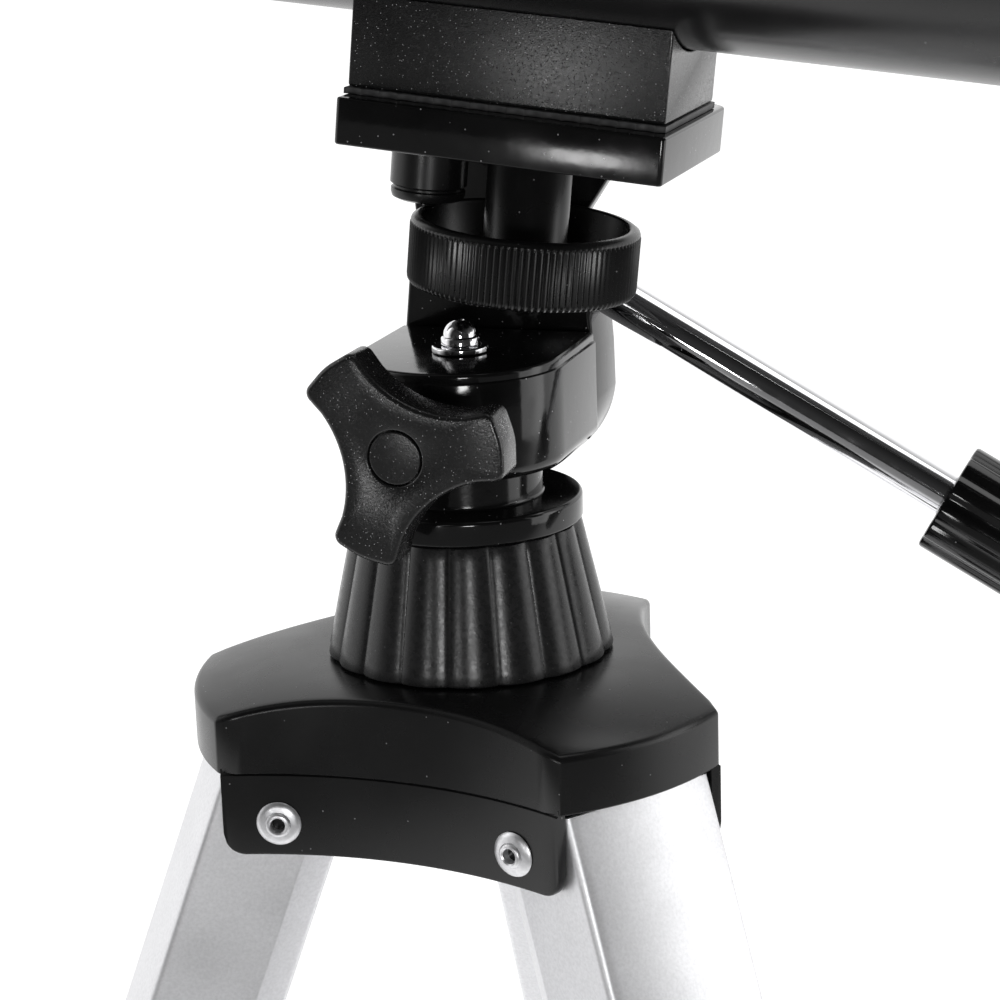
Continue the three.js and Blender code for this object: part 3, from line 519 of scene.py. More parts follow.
def rivet_steel():
    look = start_look("rivet_steel", grey(0.84), 0.35, 0.85)
    add_bump(look, noise(look, 0.5, 3), 0.012, 0.5)
    set_roughness(look, noise(look, 1.1, 4), 0.3, 0.44)
    set_colour(look, noise(look, 0.9, 4), grey(0.78), grey(0.9))
    return look["material"]


def rubber():
    look = start_look("rubber", grey(0.012), 0.72, Specular_IOR_Level=0.4)
    add_bump(look, noise(look, 0.7, 4), 0.05, 0.6)
    set_roughness(look, noise(look, 8, 4), 0.62, 0.85)
    set_colour(look, noise(look, 10, 4), grey(0.010), grey(0.022))
    return look["material"]


def pad_rubber():
    look = start_look("pad_rubber", grey(0.035), 0.55, Specular_IOR_Level=0.5)
    add_bump(look, noise(look, 0.5, 4), 0.04, 0.6)
    set_roughness(look, noise(look, 4, 4), 0.5, 0.65)
    set_colour(look, noise(look, 5, 4), grey(0.045), grey(0.07))
    return look["material"]


def lens_glass():
    """Optical glass with a faint coating."""
    look = start_look("lens_glass", (0.93, 0.97, 1.0), 0.01, Transmission_Weight=1.0, IOR=1.52)
    look["shader"].inputs["Coat Weight"].default_value = 0.4
    look["shader"].inputs["Coat Tint"].default_value = (0.72, 0.82, 1.0, 1)
    set_roughness(look, noise(look, 20), 0.004, 0.02)
    return look["material"]


def mirror():
    look = start_look("mirror", grey(0.9), 0.02, 1.0)
    set_roughness(look, noise(look, 10), 0.01, 0.03)
    set_colour(look, noise(look, 12), grey(0.88), grey(0.92))
    return look["material"]


LOOKS = {
    "cast_gloss": cast_gloss(),
    "moulded_black": moulded_black(),
    "grained_black": grained_black(),
    "fluted_black": fluted_black(),
    "grip_gloss": grip_gloss(),
    "tube_paint": tube_paint(),
    "blasted_aluminium": blasted_aluminium(),
    "chrome": chrome(),
    "rivet_steel": rivet_steel(),
    "rubber": rubber(),
    "pad_rubber": pad_rubber(),
    "lens_glass": lens_glass(),
    "mirror": mirror(),
}

# ---------------------------------------------------------------- making a piece


def piece(node, shell, at, name=None, slot=None, look=None, crease=38.0):
    """A detailed piece that stands for a CAD node and rides on that node's body."""
    name = name or f"detailed_{node}"
    slot = slot or SLOT_OF[node]
    mesh = bpy.data.meshes.new(name)
    mesh.from_pydata(shell[0], [], shell[1])
    mesh.transform(at)
    work = bmesh.new()
    work.from_mesh(mesh)
    bmesh.ops.recalc_face_normals(work, faces=work.faces)
    work.to_mesh(mesh)
    work.free()
    mesh.shade_smooth()
    mesh.set_sharp_from_angle(angle=math.radians(crease))
    mesh.materials.append(LOOKS[look or slot])
    made = bpy.data.objects.new(name, mesh)
    bpy.context.scene.collection.objects.link(made)
    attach(made, frame["nodes"][node]["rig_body"])
    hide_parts(node)
    return made


# ---------------------------------------------------------------- tripod shoulder


def shoulder_outline(by, corner):
    """Three round arm ends and three hollow sides, smaller by `by`, the corners between them rounded."""
    reach = ARM_REACH - by - corner
    hollow = HOLLOW_RADIUS + by + corner
    half = math.acos((HOLLOW_CENTRE**2 + reach**2 - hollow**2) / (2 * HOLLOW_CENTRE * reach))
    swing = math.degrees(half)
    sweep = math.degrees(math.asin(reach * math.sin(half) / hollow))

    def corner_arc(angle, turn_from, turn_to):
        x = reach * math.cos(math.radians(angle))
        y = reach * math.sin(math.radians(angle))
        return arc(x, y, corner, turn_from, turn_to, 6)

    points = []
    for index in range(3):
        side = FIRST_ARM + 60 + 120 * index
        x = HOLLOW_CENTRE * math.cos(math.radians(side))
        y = HOLLOW_CENTRE * math.sin(math.radians(side))
        points += arc(0, 0, ARM_REACH - by, side - 120 + swing, side - swing, 16)[1:-1]
        points += corner_arc(side - swing, side - swing, side - sweep)
        points += arc(x, y, HOLLOW_RADIUS + by, side + 180 + sweep, side + 180 - sweep, 40)[1:-1]
        points += corner_arc(side + swing, side + sweep, side + swing)
    return points


def crown_height(radius):
    fall = max(0.0, (radius - CROWN_RADIUS) / (ARM_REACH - CROWN_RADIUS))
    return CROWN * (1 - fall**2)


def shoulder_crown():
    """The moulding's top, outer band and middle, with the spigot and the sleeve for the column."""
    rings = []

    def add_outline(by, lift, crowned=False):
        ring = shoulder_outline(by, CORNER - by)
        rings.append([(x, y, lift + (crown_height(math.hypot(x, y)) if crowned else 0)) for x, y in ring])

    def add_circle(radius, height):
        rings.append([(p[0] * radius / math.hypot(*p[:2]), p[1] * radius / math.hypot(*p[:2]), height)
                      for p in rings[0]])

    add_outline(0.7, -BAND)
    add_outline(0.2, -BAND + 0.05)
    add_outline(0.0, -BAND + 0.3)
    steps = 6
    for step in range(steps + 1):
        turn = math.pi / 2 * step / steps
        drop = RIM * (1 - math.sin(turn))
        add_outline(RIM * (1 - math.cos(turn)), -drop, crowned=True)
    edge = rings[-1]
    inward = 18
    for step in range(1, inward + 1):
        share = step / inward
        ring = []
        for x, y, _ in edge:
            radius = math.hypot(x, y)
            nearer = radius + (SPIGOT["radius"] - radius) * share
            ring.append((x * nearer / radius, y * nearer / radius, crown_height(nearer)))
        rings.append(ring)
    add_circle(SPIGOT["radius"], SPIGOT["top"])
    add_circle(GUIDE["bore"], SPIGOT["top"])
    add_circle(GUIDE["bore"], GUIDE["top"])
    add_circle(GUIDE["radius"] + 0.3, GUIDE["top"])
    add_circle(GUIDE["radius"] + 0.3, SLEEVE["bottom"])
    add_circle(SLEEVE["radius"], SLEEVE["bottom"])
    add_circle(SLEEVE["radius"], -BAND)
    return stacked(rings, closed=True)


def skirt(side):
    """The wall under one hollow side that the legs' rivets go through. Side is its direction in degrees."""
    by = SKIRT["set_in"]
    centre = Vector((HOLLOW_CENTRE, 0))
    reach = ARM_REACH - by
    hollow = HOLLOW_RADIUS + by
    half = math.acos((HOLLOW_CENTRE**2 + reach**2 - hollow**2) / (2 * HOLLOW_CENTRE * reach))
    sweep = math.asin(reach * math.sin(half) / hollow)
    turn = math.radians(side)
    length = 2 * sweep * hollow
    spots = [i / 10 * SKIRT["corner"] for i in range(11)]
    spots += [SKIRT["corner"] + (length - 2 * SKIRT["corner"]) * i / 40 for i in range(1, 40)]
    spots += [length - spot for spot in reversed(spots[:11])]
    columns = []
    for spot in spots:
        angle = sweep - spot / hollow
        outward = Vector((-math.cos(angle), -math.sin(angle)))
        outer = centre + outward * hollow
        thick = SKIRT["wall"]
        for arm_side in (-1, 1):
            arm = Vector((math.cos(math.radians(60)), arm_side * math.sin(math.radians(60))))
            across = Vector((arm_side * arm.y, -arm_side * arm.x)) * arm_side
            lateral = abs(outer.dot(across))
            slope = abs(outward.dot(across))
            if outer.dot(arm) > 40:
                thick = min(thick, max(0.8, (lateral - SKIRT["slot"]) / max(slope, 0.2)))
        inner = outer + outward * thick
        from_end = min(spot, length - spot)
        lift = 0.0
        if from_end < SKIRT["corner"]:
            lift = SKIRT["corner"] - math.sqrt(SKIRT["corner"]**2 - (SKIRT["corner"] - from_end)**2)
        bottom = SKIRT["bottom"] + lift
        edge = min(0.7, thick * 0.3)
        columns.append([
            (*(outer + outward * 0.5), -BAND + 1), (*(outer + outward * 0.45), -BAND - 0.05),
            (*outer, -BAND - 0.35), (*outer, bottom + edge),
            (*(outer + outward * edge * 0.3), bottom + edge * 0.3), (*(outer + outward * edge), bottom),
            (*(inner - outward * edge), bottom), (*(inner - outward * edge * 0.3), bottom + edge * 0.3),
            (*inner, bottom + edge), (*inner, -BAND + 1),
        ])
    return moved(stacked(columns), Matrix.Rotation(turn, 4, "Z"))


def make_shoulder():
    skirts = [skirt(FIRST_ARM + 60 + 120 * index) for index in range(3)]
    piece("shoulder", merged(shoulder_crown(), *skirts), SHOULDER)


def rivet_head():
    """A blind rivet's flange, raised barrel and pulled stem, drawn facing +Z."""
    profile = [(0, -2.0), (2.6, -2.0), (2.6, 0), (4.6, 0), (4.75, 0.25), (4.5, 0.6), (3.6, 0.95),
               (2.75, 1.1), (2.6, 1.55), (2.3, 1.8), (1.9, 1.85), (1.6, 1.6), (1.35, -0.9),
               (1.1, -1.1), (0.85, -0.6), (0.6, -0.3), (0, -0.25)]
    return turned(profile, 48)


def make_rivets(letter):
    """One head on each skirt beside a leg, lying flat on the skirt's hollow face."""
    heads = []
    for arm_side in (-1, 1):
        centre = Vector((HOLLOW_CENTRE * 0.5, arm_side * HOLLOW_CENTRE * math.sin(math.radians(60))))
        hollow = HOLLOW_RADIUS + SKIRT["set_in"]
        away = centre.x - LEG_PIVOT_OUT
        across = centre.y - arm_side * math.sqrt(hollow**2 - away**2)
        spot = Vector((LEG_PIVOT_OUT, across))
        normal = (centre - spot).normalized()
        facing = Vector((normal.x, normal.y, 0)).to_track_quat("Z", "Y").to_matrix().to_4x4()
        heads.append(moved(rivet_head(), Matrix.Translation((0, across, 0)) @ facing))
    piece(f"leg_rivet_{letter}", merged(*heads), arm_place(letter))


# ---------------------------------------------------------------- column, collar and head base


def flute(angle, radius, height):
    """Rounded lobes with a sharp valley between each two, on the outside only."""
    if radius < COLLAR["high"] - 1.5:
        return radius
    lobe = abs(math.sin(COLLAR["flutes"] * angle / 2))
    return radius - COLLAR["flute"] * (1 - lobe**0.7)


def make_column():
    low, high = COLLAR["low"], COLLAR["high"]
    bottom, top = COLLAR["bottom"], COLLAR["top"]
    profile = [(SPIGOT["radius"] + 0.3, bottom), (low - 0.5, bottom), (low - 0.1, bottom + 0.2)]
    steps = 12
    for step in range(steps + 1):
        share = step / steps
        profile.append((low + (high - low) * share, bottom + 0.6 + (top - bottom - 1.1) * share))
    profile += [(high - 0.2, top - 0.15), (high - 0.6, top), (GUIDE["bore"], top), (GUIDE["bore"], 26.3),
                (SPIGOT["radius"] + 0.3, 26.3)]
    piece("column_collar", turned(profile, 18 * 24, flute), SHOULDER, look="fluted_black", crease=30)

    inner = COLUMN["radius"] - COLUMN["wall"]
    piece("centre_column", hoop(inner, COLUMN["radius"], COLUMN["bottom"], COLUMN["top"]), SHOULDER)
    piece("column_guide", hoop(GUIDE["bore"], GUIDE["radius"], GUIDE["bottom"], GUIDE["top"]), SHOULDER)
    cap = disc(COLUMN["radius"], COLUMN["plug"], COLUMN["bottom"] - 0.3, 0.8)
    piece("column_end_cap", cap, SHOULDER)

    base = [(0, 18), (9.6, 18), (9.6, FLANGE["bottom"]), (FLANGE["radius"], FLANGE["bottom"]),
            (FLANGE["radius"], FLANGE["top"]), (NECK["radius"], FLANGE["top"]), (NECK["radius"], NECK["top"]),
            (0, NECK["top"])]
    piece("head_base", turned(rounded(base, [0, 0.4, 0, 0.5, 0.9, 0.8, 0.4, 0], closed=False), 128), SHOULDER)


# ---------------------------------------------------------------- pan body and its bolt


def make_pan_body():
    plan = arc(0, 0, PAN["radius"], 180, 360, 64)
    plan += rounded([(PAN["radius"], 0), (PAN["radius"], PAN["back"]), (-PAN["radius"], PAN["back"]),
                     (-PAN["radius"], 0)], [0, 1.2, 1.2, 0], closed=False)[1:-1]
    turns = [math.pi / 2 * step / 8 for step in range(9)]
    layers = [(3.0 * (1 - math.sin(t)), PAN["bottom"] + 3.0 * (1 - math.cos(t))) for t in turns]
    layers += [(0.0, PAN["top"] - 2.4), (0.05, PAN["top"] - 2.2), (0.45, PAN["top"] - 1.9)]
    layers += [(0.45 + 0.9 * (1 - math.cos(t)), PAN["top"] - 0.9 * (1 - math.sin(t))) for t in turns]
    rings = [[(x, y, height) for x, y in inset(plan, by)] for by, height in layers]
    piece("pan_body", stacked(rings), SHOULDER)
    washer = hoop(3.6, 6.0, PAN["top"] + 0.1, PAN["top"] + 1.5, 0.35, 64)
    piece("pan_washer", washer, SHOULDER)
    angles = [math.radians(degrees) for degrees in range(8, 70, 8)]
    dome = [(3.5 * math.cos(angle), 73.4 + 3.3 * math.sin(angle)) for angle in angles]
    bolt = [(0, 31), (3.2, 31), (3.2, 71.4), (3.8, 71.4), (4.0, 71.6), (4.0, 72.9), (3.8, 73.2),
            (3.5, 73.3), *dome, (1.0, 76.55), (0.8, 76.3), (0, 76.2)]
    piece("pan_bolt", turned(bolt, 64), SHOULDER)


# ---------------------------------------------------------------- lock knob


def knob_outline():
    """Three lobes whose tips lie on one circle, with a hollow between each two."""
    tip, neck, half = KNOB["tip"], KNOB["neck"], KNOB["half_tip"]
    open_half = math.degrees(math.asin(half / tip))
    from_hollow = math.radians(60 - open_half)
    corner = Vector((tip * math.cos(from_hollow), tip * math.sin(from_hollow)))
    centre = (corner.length_squared - neck**2) / (2 * (corner.x - neck))
    sweep = math.degrees(math.atan2(corner.y, centre - corner.x))
    points, radii = [], []
    for lobe in range(3):
        middle = KNOB["turn"] + 120 * lobe
        end = arc(0, 0, tip, middle - open_half, middle + open_half, 2)
        hollow = middle + 60
        x = centre * math.cos(math.radians(hollow))
        y = centre * math.sin(math.radians(hollow))
        dip = arc(x, y, centre - neck, hollow + 180 + sweep, hollow + 180 - sweep, 24)[4:-4]
        points += end + dip
        radii += [2.2, 14.0, 2.2] + [0] * len(dip)
    return rounded(points, radii, 6)


def make_lock_knob():
    outline = knob_outline()
    depth = KNOB["back"] - KNOB["front"]
    edge = 1.1
    turns = [math.pi / 2 * step / 5 for step in range(6)]
    layers = [(0.6, depth), (0.15, depth - 0.15), (0.0, depth - 0.6)]
    layers += [(edge * (1 - math.cos(t)), edge * (1 - math.sin(t))) for t in turns]
    rings = [[(x, y, z) for x, y in inset(outline, by)] for by, z in layers]
    directions = [math.atan2(y, x) for x, y in outline]
    recess = ((6.1, 0.0), (5.85, 0.12), (5.7, 0.4), (5.7, 2.0))
    for radius, z in recess:
        rings.append([(radius * math.cos(a), radius * math.sin(a), z) for a in directions])
    lobes = moved(stacked(rings), Matrix.Translation((0, KNOB["front"], 0)) @ SIDEWAYS)
    boss = pin(8.0, KNOB["back"] - 0.5, -PAN["radius"] - 1.0, edge=0.8)
    stud = pin(4.0, KNOB["back"], -4.2)
    piece("lock_knob", merged(lobes, boss, stud), KNOB_AT)
    cap = pin(KNOB["cap"], KNOB["front"] + 0.1, KNOB["front"] + 1.7, edge=0.35, sides=72)
    piece("lock_knob_cap", cap, KNOB_AT)


# ---------------------------------------------------------------- tilting head


def make_tilt_table():
    """Table, rear cheek, tilt drum and trunnion: one casting."""
    under = TABLE["top"] - TABLE["thick"]
    spans = around(TABLE["x"], TABLE["y"], TABLE["length"], TABLE["width"])
    top = plate(rounded(rectangle(*spans), [1.2, 1.0, 4.0, 4.0], 8), under, TABLE["top"], 0.5)
    drum_outline = arc(0, 0, CHEEK["drum"], 180, 360, 72)
    drum_outline += rounded([(CHEEK["drum"], 0), (20.5, 10), (19, 18), (19, CHEEK["step"]),
                             (-23, CHEEK["step"]), (-23, 8), (-CHEEK["drum"], 0)],
                            [0, 8, 8, 1.5, 1.5, 4, 0], closed=False)[1:-1]
    drum = side_plate(drum_outline, CHEEK["near"], CHEEK["far"], 0.9)
    boss_outline = rounded([(-23, 20), (19, 20), (19, CHEEK["top"]), (-23, CHEEK["top"])], [0.5, 0.5, 4, 4])
    boss = side_plate(boss_outline, WEB["near"], CHEEK["far"], 1.2)
    plate_top = TABLE["top"] - 2
    web_outline = rounded([(-23, 30), (14, 30), (13.5, 36.5), (24.4, 57.2), (24.4, plate_top),
                           (-28, plate_top), (-28, 57.2)], [0, 0, 3, 1, 0.5, 0.5, 6])
    web = side_plate(web_outline, WEB["near"], WEB["far"], 0.7)
    trunnion = pin(7.0, 8.0, CHEEK["near"] + 1)
    piece("tilt_table", merged(top, drum, boss, web, trunnion), TILT)


def make_camera_screw():
    """The knurled cup under the table, its hub and its screw."""
    ribs = 112
    bottom, top, radius = CUP["bottom"], CUP["top"], CUP["radius"]
    wall, floor, hub = radius - CUP_INSIDE["wall"], CUP_INSIDE["floor"], CUP_INSIDE["hub"]
    under = TABLE["under"] - 0.3
    profile = [(0, bottom), (radius - 1.6, bottom), (radius - 0.6, bottom + 0.25),
               (radius - 0.1, bottom + 0.9), (radius, bottom + 1.6), (radius, top - 1.9),
               (radius - 0.15, top - 1.45), (radius - 0.1, top - 1.2), (radius - 0.3, top - 0.7),
               (radius - 1.2, top - 0.1), (radius - 1.6, top), (wall + 0.4, top),
               (wall, top - 0.4), (wall - 0.2, floor + 1.2), (wall - 1.4, floor),
               (hub + 1, floor), (hub, floor + 1), (hub, under - 0.3),
               (hub - 0.3, under), (3.1, under), (3.1, 71.6), (2.7, 72), (0, 72)]
    shell = turned(profile, ribs * 6, knurl(ribs, 0.2, 0.24, radius - 0.7, high=top - 1.4))
    at = TILT @ Matrix.Translation((CUP["x"], CUP["y"], 0))
    piece("camera_screw_knob", shell, at, look="moulded_black", crease=50)


def make_locator_barrel():
    bottom, radius = BARREL["bottom"], BARREL["radius"]
    under = TABLE["under"] - 0.3
    profile = [(0, bottom - 1.4), (0.9, bottom - 1.4), (1.1, bottom), (6.4, bottom), (7.5, bottom + 0.5),
               (7.8, bottom + 1.4), (7.8, bottom + 2.2), (7.35, bottom + 2.5), (7.35, bottom + 2.9),
               (radius, bottom + 3.4), (radius, under), (0, under)]
    piece("locator_barrel", turned(profile, 72), TILT @ Matrix.Translation((BARREL["x"], TABLE["y"], 0)))


def make_pad():
    """A ribbed rubber pad whose long edges are scalloped."""
    (x0, x1), (y0, y1) = around(BLOCK["x"], BLOCK["y"], PAD["length"], PAD["width"])
    waves, steps, depth = 17.5, 12, 0.7
    count = int(waves * steps)
    near, far = [], []
    for i in range(count + 1):
        x = x0 + (x1 - x0) * i / count
        bite = depth * abs(math.sin(math.pi * waves * i / count)) ** 0.8
        near.append((x, y0 + bite))
        far.append((x, y1 - bite))
    outline = near + far[::-1]
    bottom = TABLE["top"] + 0.05
    piece("platform_pad", plate(outline, bottom, bottom + PAD["thick"], 0.12, 2), TILT, look="pad_rubber")


def make_block():
    """The block that the tube sits in, drawn in YZ."""
    half = BLOCK["width"] / 2
    radius = TUBE["radius"] + 0.3
    side = math.degrees(math.acos(half / radius))
    outline = [(BLOCK["y"] - half, BLOCK["bottom"]), (BLOCK["y"] + half, BLOCK["bottom"])]
    outline += arc(TUBE["y"], TUBE["z"], radius, -side, -180 + side, 40)
    radii = [0.7, 0.7] + [0.0] * (len(outline) - 2)
    x = (BLOCK["x"] - BLOCK["length"] / 2, BLOCK["x"] + BLOCK["length"] / 2)
    shell = moved(plate(rounded(outline, radii, 4), x[0], x[1], 0.45, 3), LENGTHWAYS)
    piece("saddle_block", shell, TILT)


def make_handle():
    start, end, thick = -ROD["inside"], ROD["in_grip"], HANDLE["rod"]
    rod = rounded([(0, start), (thick, start), (thick, end), (0, end)], 0.4, closed=False)
    piece("handle_rod", moved(turned(rod, 72), LENGTHWAYS), IN_HANDLE)
    flutes = 12

    def fluting(angle, reach, height):
        if reach < thick + 1:
            return reach
        fade = min(1.0, max(0.0, (HANDLE["length"] - 6 - height) / 10))
        return reach - fade * 0.75 * (0.5 - 0.5 * math.cos(flutes * angle)) ** 2

    length, radius = HANDLE["length"], HANDLE["grip"]
    dome_start, dome_height = length * 0.86, length * 0.14
    profile = [(0, 1.5), (thick + 0.2, 1.5), (thick + 0.7, 0), (radius - 0.7, 0), (radius - 0.2, 0.2),
               (radius, 0.7)]
    profile += [(radius, 0.7 + (dome_start - 0.7) * step / 8) for step in range(1, 9)]
    for degrees in range(10, 90, 8):
        angle = math.radians(degrees)
        profile.append((radius * math.cos(angle), dome_start + dome_height * math.sin(angle)))
    profile.append((0, dome_start + dome_height))
    grip = turned(profile, flutes * 20, fluting)
    piece("handle_grip", moved(grip, LENGTHWAYS), IN_HANDLE)


# ---------------------------------------------------------------- telescope


def along(profile, edge=0.5, sides=128, ripple=None, closed=True):
    """A piece turned about the tube's axis, its corners rounded."""
    return moved(turned(rounded(profile, edge, closed=closed), sides, ripple), LENGTHWAYS)


def make_tube():
    inner = TUBE["radius"] - TUBE["wall"]
    shell = [(inner, TUBE["front"]), (TUBE["radius"], TUBE["front"]), (TUBE["radius"], TUBE["back"]),
             (inner, TUBE["back"])]
    piece("main_tube", along(shell, 0.4), ALONG_TUBE)
    front, seat, bore = CELL["front"], CELL["seat"], CELL["bore"]
    cell = [(29, seat), (29, -284), (32.1, -284), (32.1, -300.3), (CELL["radius"], -300.3),
            (CELL["radius"], front), (bore, front), (bore, seat)]
    piece("lens_cell", along(cell, [0, 0.4, 0.4, 0, 0.8, 1.2, 0.4, 0]), ALONG_TUBE)
    arch = [(30.2 * step / 12, seat - 11.0 + 2.4 * (step / 12) ** 2) for step in range(13)]
    lens = [*arch, (30.2, seat - 0.3), (16, seat - 0.3), (0, seat - 0.6)]
    piece("objective_lens", moved(turned(lens, 96), LENGTHWAYS), ALONG_TUBE)
    ring = [(28.4, front + 0.5), (30.2, front + 0.5), (30.2, front + 2.6), (28.4, front + 2.6)]
    piece("lens_ring", along(ring, 0.3), ALONG_TUBE)
    shield = [(SHIELD["bore"], SHIELD["front"]), (SHIELD["radius"], SHIELD["front"]),
              (SHIELD["radius"], SHIELD["front"] + 3), (SHIELD["radius"] - 0.5, SHIELD["front"] + 3.6),
              (SHIELD["radius"] - 0.5, SHIELD["back"] - 3.6), (SHIELD["radius"], SHIELD["back"] - 3),
              (SHIELD["radius"], SHIELD["back"]), (SHIELD["bore"], SHIELD["back"])]
    piece("dew_shield", along(shield, [0.5, 0.9, 0.3, 0.3, 0.3, 0.3, 0.9, 0.5]), ALONG_TUBE)


def make_focuser():
    start, flange = TUBE["back"] - 14, TUBE["back"] + 0.3
    nose, back, bore = FOCUSER["nose"], FOCUSER["back"], FOCUSER["bore"]
    shell = [(28, start), (32.1, start), (32.1, flange), (FOCUSER["flange"], flange),
             (FOCUSER["flange"], flange + 9), (33, flange + 11), (nose, FOCUSER["nose_front"]),
             (nose, back - 5), (nose + 1, back - 4), (nose + 1, back), (bore, back), (bore, flange + 10),
             (28, flange + 4)]
    radii = [0.4, 0.4, 0, 0.8, 1.5, 1.5, 4.0, 0.4, 0.4, 0.9, 0.6, 0, 0]
    housing = along(shell, radii)
    gearbox = bar((PINION["x"] - 11, PINION["x"] + 11), (-13, 13), (PINION["z"] - 8, -16), 1.8)
    bosses = [pin(6.0, near, near + 7, PINION["x"], PINION["z"], 0.6) for near in (11, -18)]
    piece("focuser_housing", merged(housing, gearbox, *bosses), ALONG_TUBE)
    screws = []
    for turn in (90, 210, 330):
        head = disc(2.2, FOCUSER["flange"] - 0.4, FOCUSER["flange"] + 0.7, 0.4, 24)
        lay = Matrix.Rotation(math.radians(turn), 4, "X") @ Matrix.Translation((flange + 5, 0, 0))
        screws.append(moved(head, lay))
    piece("focuser_housing", merged(*screws), ALONG_TUBE, name="focuser_screws", slot="rivet_steel")
    collar_front = DRAWTUBE["back"] - DRAWTUBE_COLLAR["length"]
    tube = [(DRAWTUBE["bore"], DRAWTUBE["front"]), (DRAWTUBE["radius"], DRAWTUBE["front"]),
            (DRAWTUBE["radius"], DRAWTUBE["back"] - 1), (DRAWTUBE["bore"], DRAWTUBE["back"] - 1)]
    rack_width = (-RACK["half"], RACK["half"])
    rack_span = (DRAWTUBE["front"] + 2, collar_front - 1)
    rack = bar(rack_span, rack_width, (RACK["bottom"], RACK["top"]), 0.2)
    teeth = []
    for i in range(int((collar_front - DRAWTUBE["front"] - 6) / RACK["pitch"])):
        x = DRAWTUBE["front"] + 4 + RACK["pitch"] * i
        teeth.append(bar((x, x + 1.0), (-2.9, 2.9), (-17.3, -16.4), 0.1))
    piece("drawtube", merged(along(tube, 0.3), rack, *teeth), ALONG_TUBE)
    collar = [(DRAWTUBE["radius"], collar_front), (DRAWTUBE_COLLAR["radius"], collar_front + 1),
              (DRAWTUBE_COLLAR["radius"], DRAWTUBE["back"]), (DRAWTUBE["bore"] - 0.4, DRAWTUBE["back"]),
              (DRAWTUBE["bore"] - 0.4, DRAWTUBE["back"] - 2), (DRAWTUBE["radius"], DRAWTUBE["back"] - 2)]
    piece("drawtube", along(collar, [0.2, 0.8, 0.9, 0.3, 0, 0]), ALONG_TUBE, name="drawtube_collar",
          slot="moulded_black")
    screw_at = ALONG_TUBE @ Matrix.Translation((DRAWTUBE_COLLAR["screw_at"], 0, 0))
    screw = thumb_screw(DRAWTUBE_COLLAR["radius"])
    piece("drawtube", screw, screw_at, name="drawtube_thumb_screw", slot="chrome")


def thumb_screw(out):
    """A small knurled screw that stands up from a collar of that radius."""
    profile = [(0, out - 1), (1.5, out - 1), (1.5, out + 3), (3.2, out + 3.2), (3.4, out + 3.6),
               (3.4, out + 8), (3.1, out + 8.5), (0, out + 8.6)]
    return turned(profile, 144, knurl(24, 0, 0.18, 2.6))


def make_focus_knobs():
    shaft = [pin(PINION["shaft"], -FOCUS_KNOB["far"] + 3, FOCUS_KNOB["far"] - 3), pin(5, -5, 5)]
    piece("focus_shaft", merged(*shaft), ALONG_TUBE @ Matrix.Translation((PINION["x"], 0, PINION["z"])))
    ribs = 48
    near, far, radius = FOCUS_KNOB["near"], FOCUS_KNOB["far"], FOCUS_KNOB["radius"]
    grip = knurl(ribs, 0.45, 0.45, radius - 0.3, near + 2.5, far - 2.5)
    profile = [(3.2, near), (9, near), (radius - 1, near + 1), (radius, near + 2), (radius, near + 2.6),
               (radius, near + 3), (radius, far - 3), (radius, far - 2.6), (radius, far - 2),
               (radius - 1, far - 0.5), (radius - 2.2, far), (7, far), (6.2, far - 0.8), (3.2, far - 0.8)]
    for side, node in ((-1, "focus_knob_near"), (1, "focus_knob_far")):
        mirror_over = Matrix.Diagonal((1, side, 1, 1))
        shell = moved(turned(profile, ribs * 8, grip), mirror_over @ SIDEWAYS)
        cap = pin(3.4, side * (far - 2.2) - 1, side * (far - 2.2) + 1, edge=0.4)
        at = ALONG_TUBE @ Matrix.Translation((PINION["x"], 0, PINION["z"]))
        piece(node, merged(shell, cap), at)


def make_diagonal():
    axis, half, body, front = (DIAGONAL[key] for key in ("axis", "half", "body", "front"))
    outline = rounded([(body, -half), (axis - 2, -half), (axis + half, 2), (axis + half, half), (body, half)],
                      [2, 3, 3, 1.5, 2])
    box = side_plate(outline, -half, half, 1.4)
    nose = moved(hoop(10.5, DIAGONAL["nose"], front, body + 1, 0.4), LENGTHWAYS)
    holder = hoop(EYEPIECE["barrel"] + 0.3, 15, half - 1, 38, 0.6)
    lip = hoop(14.6, 15.6, 34, 37.4, 0.4)
    cover = side_plate(rounded([(0, -14.5), (1.2, -14.5), (1.2, 14.5), (0, 14.5)], 0.3), -14.5, 14.5, 0.3)
    corner = Matrix.Translation((axis + half / 2 - 1, 0, -half / 2 + 1))
    slope = corner @ Matrix.Rotation(math.radians(45), 4, "Y")
    shells = [box, nose, *(moved(shell, Matrix.Translation((axis, 0, 0))) for shell in (holder, lip)),
              moved(cover, slope)]
    piece("diagonal_body", merged(*shells), ALONG_TUBE)
    lay = ALONG_TUBE @ Matrix.Translation((axis, 0, 30)) @ Matrix.Rotation(math.radians(90), 4, "X")
    piece("diagonal_body", thumb_screw(15), lay, name="eyepiece_thumb_screw", slot="chrome")


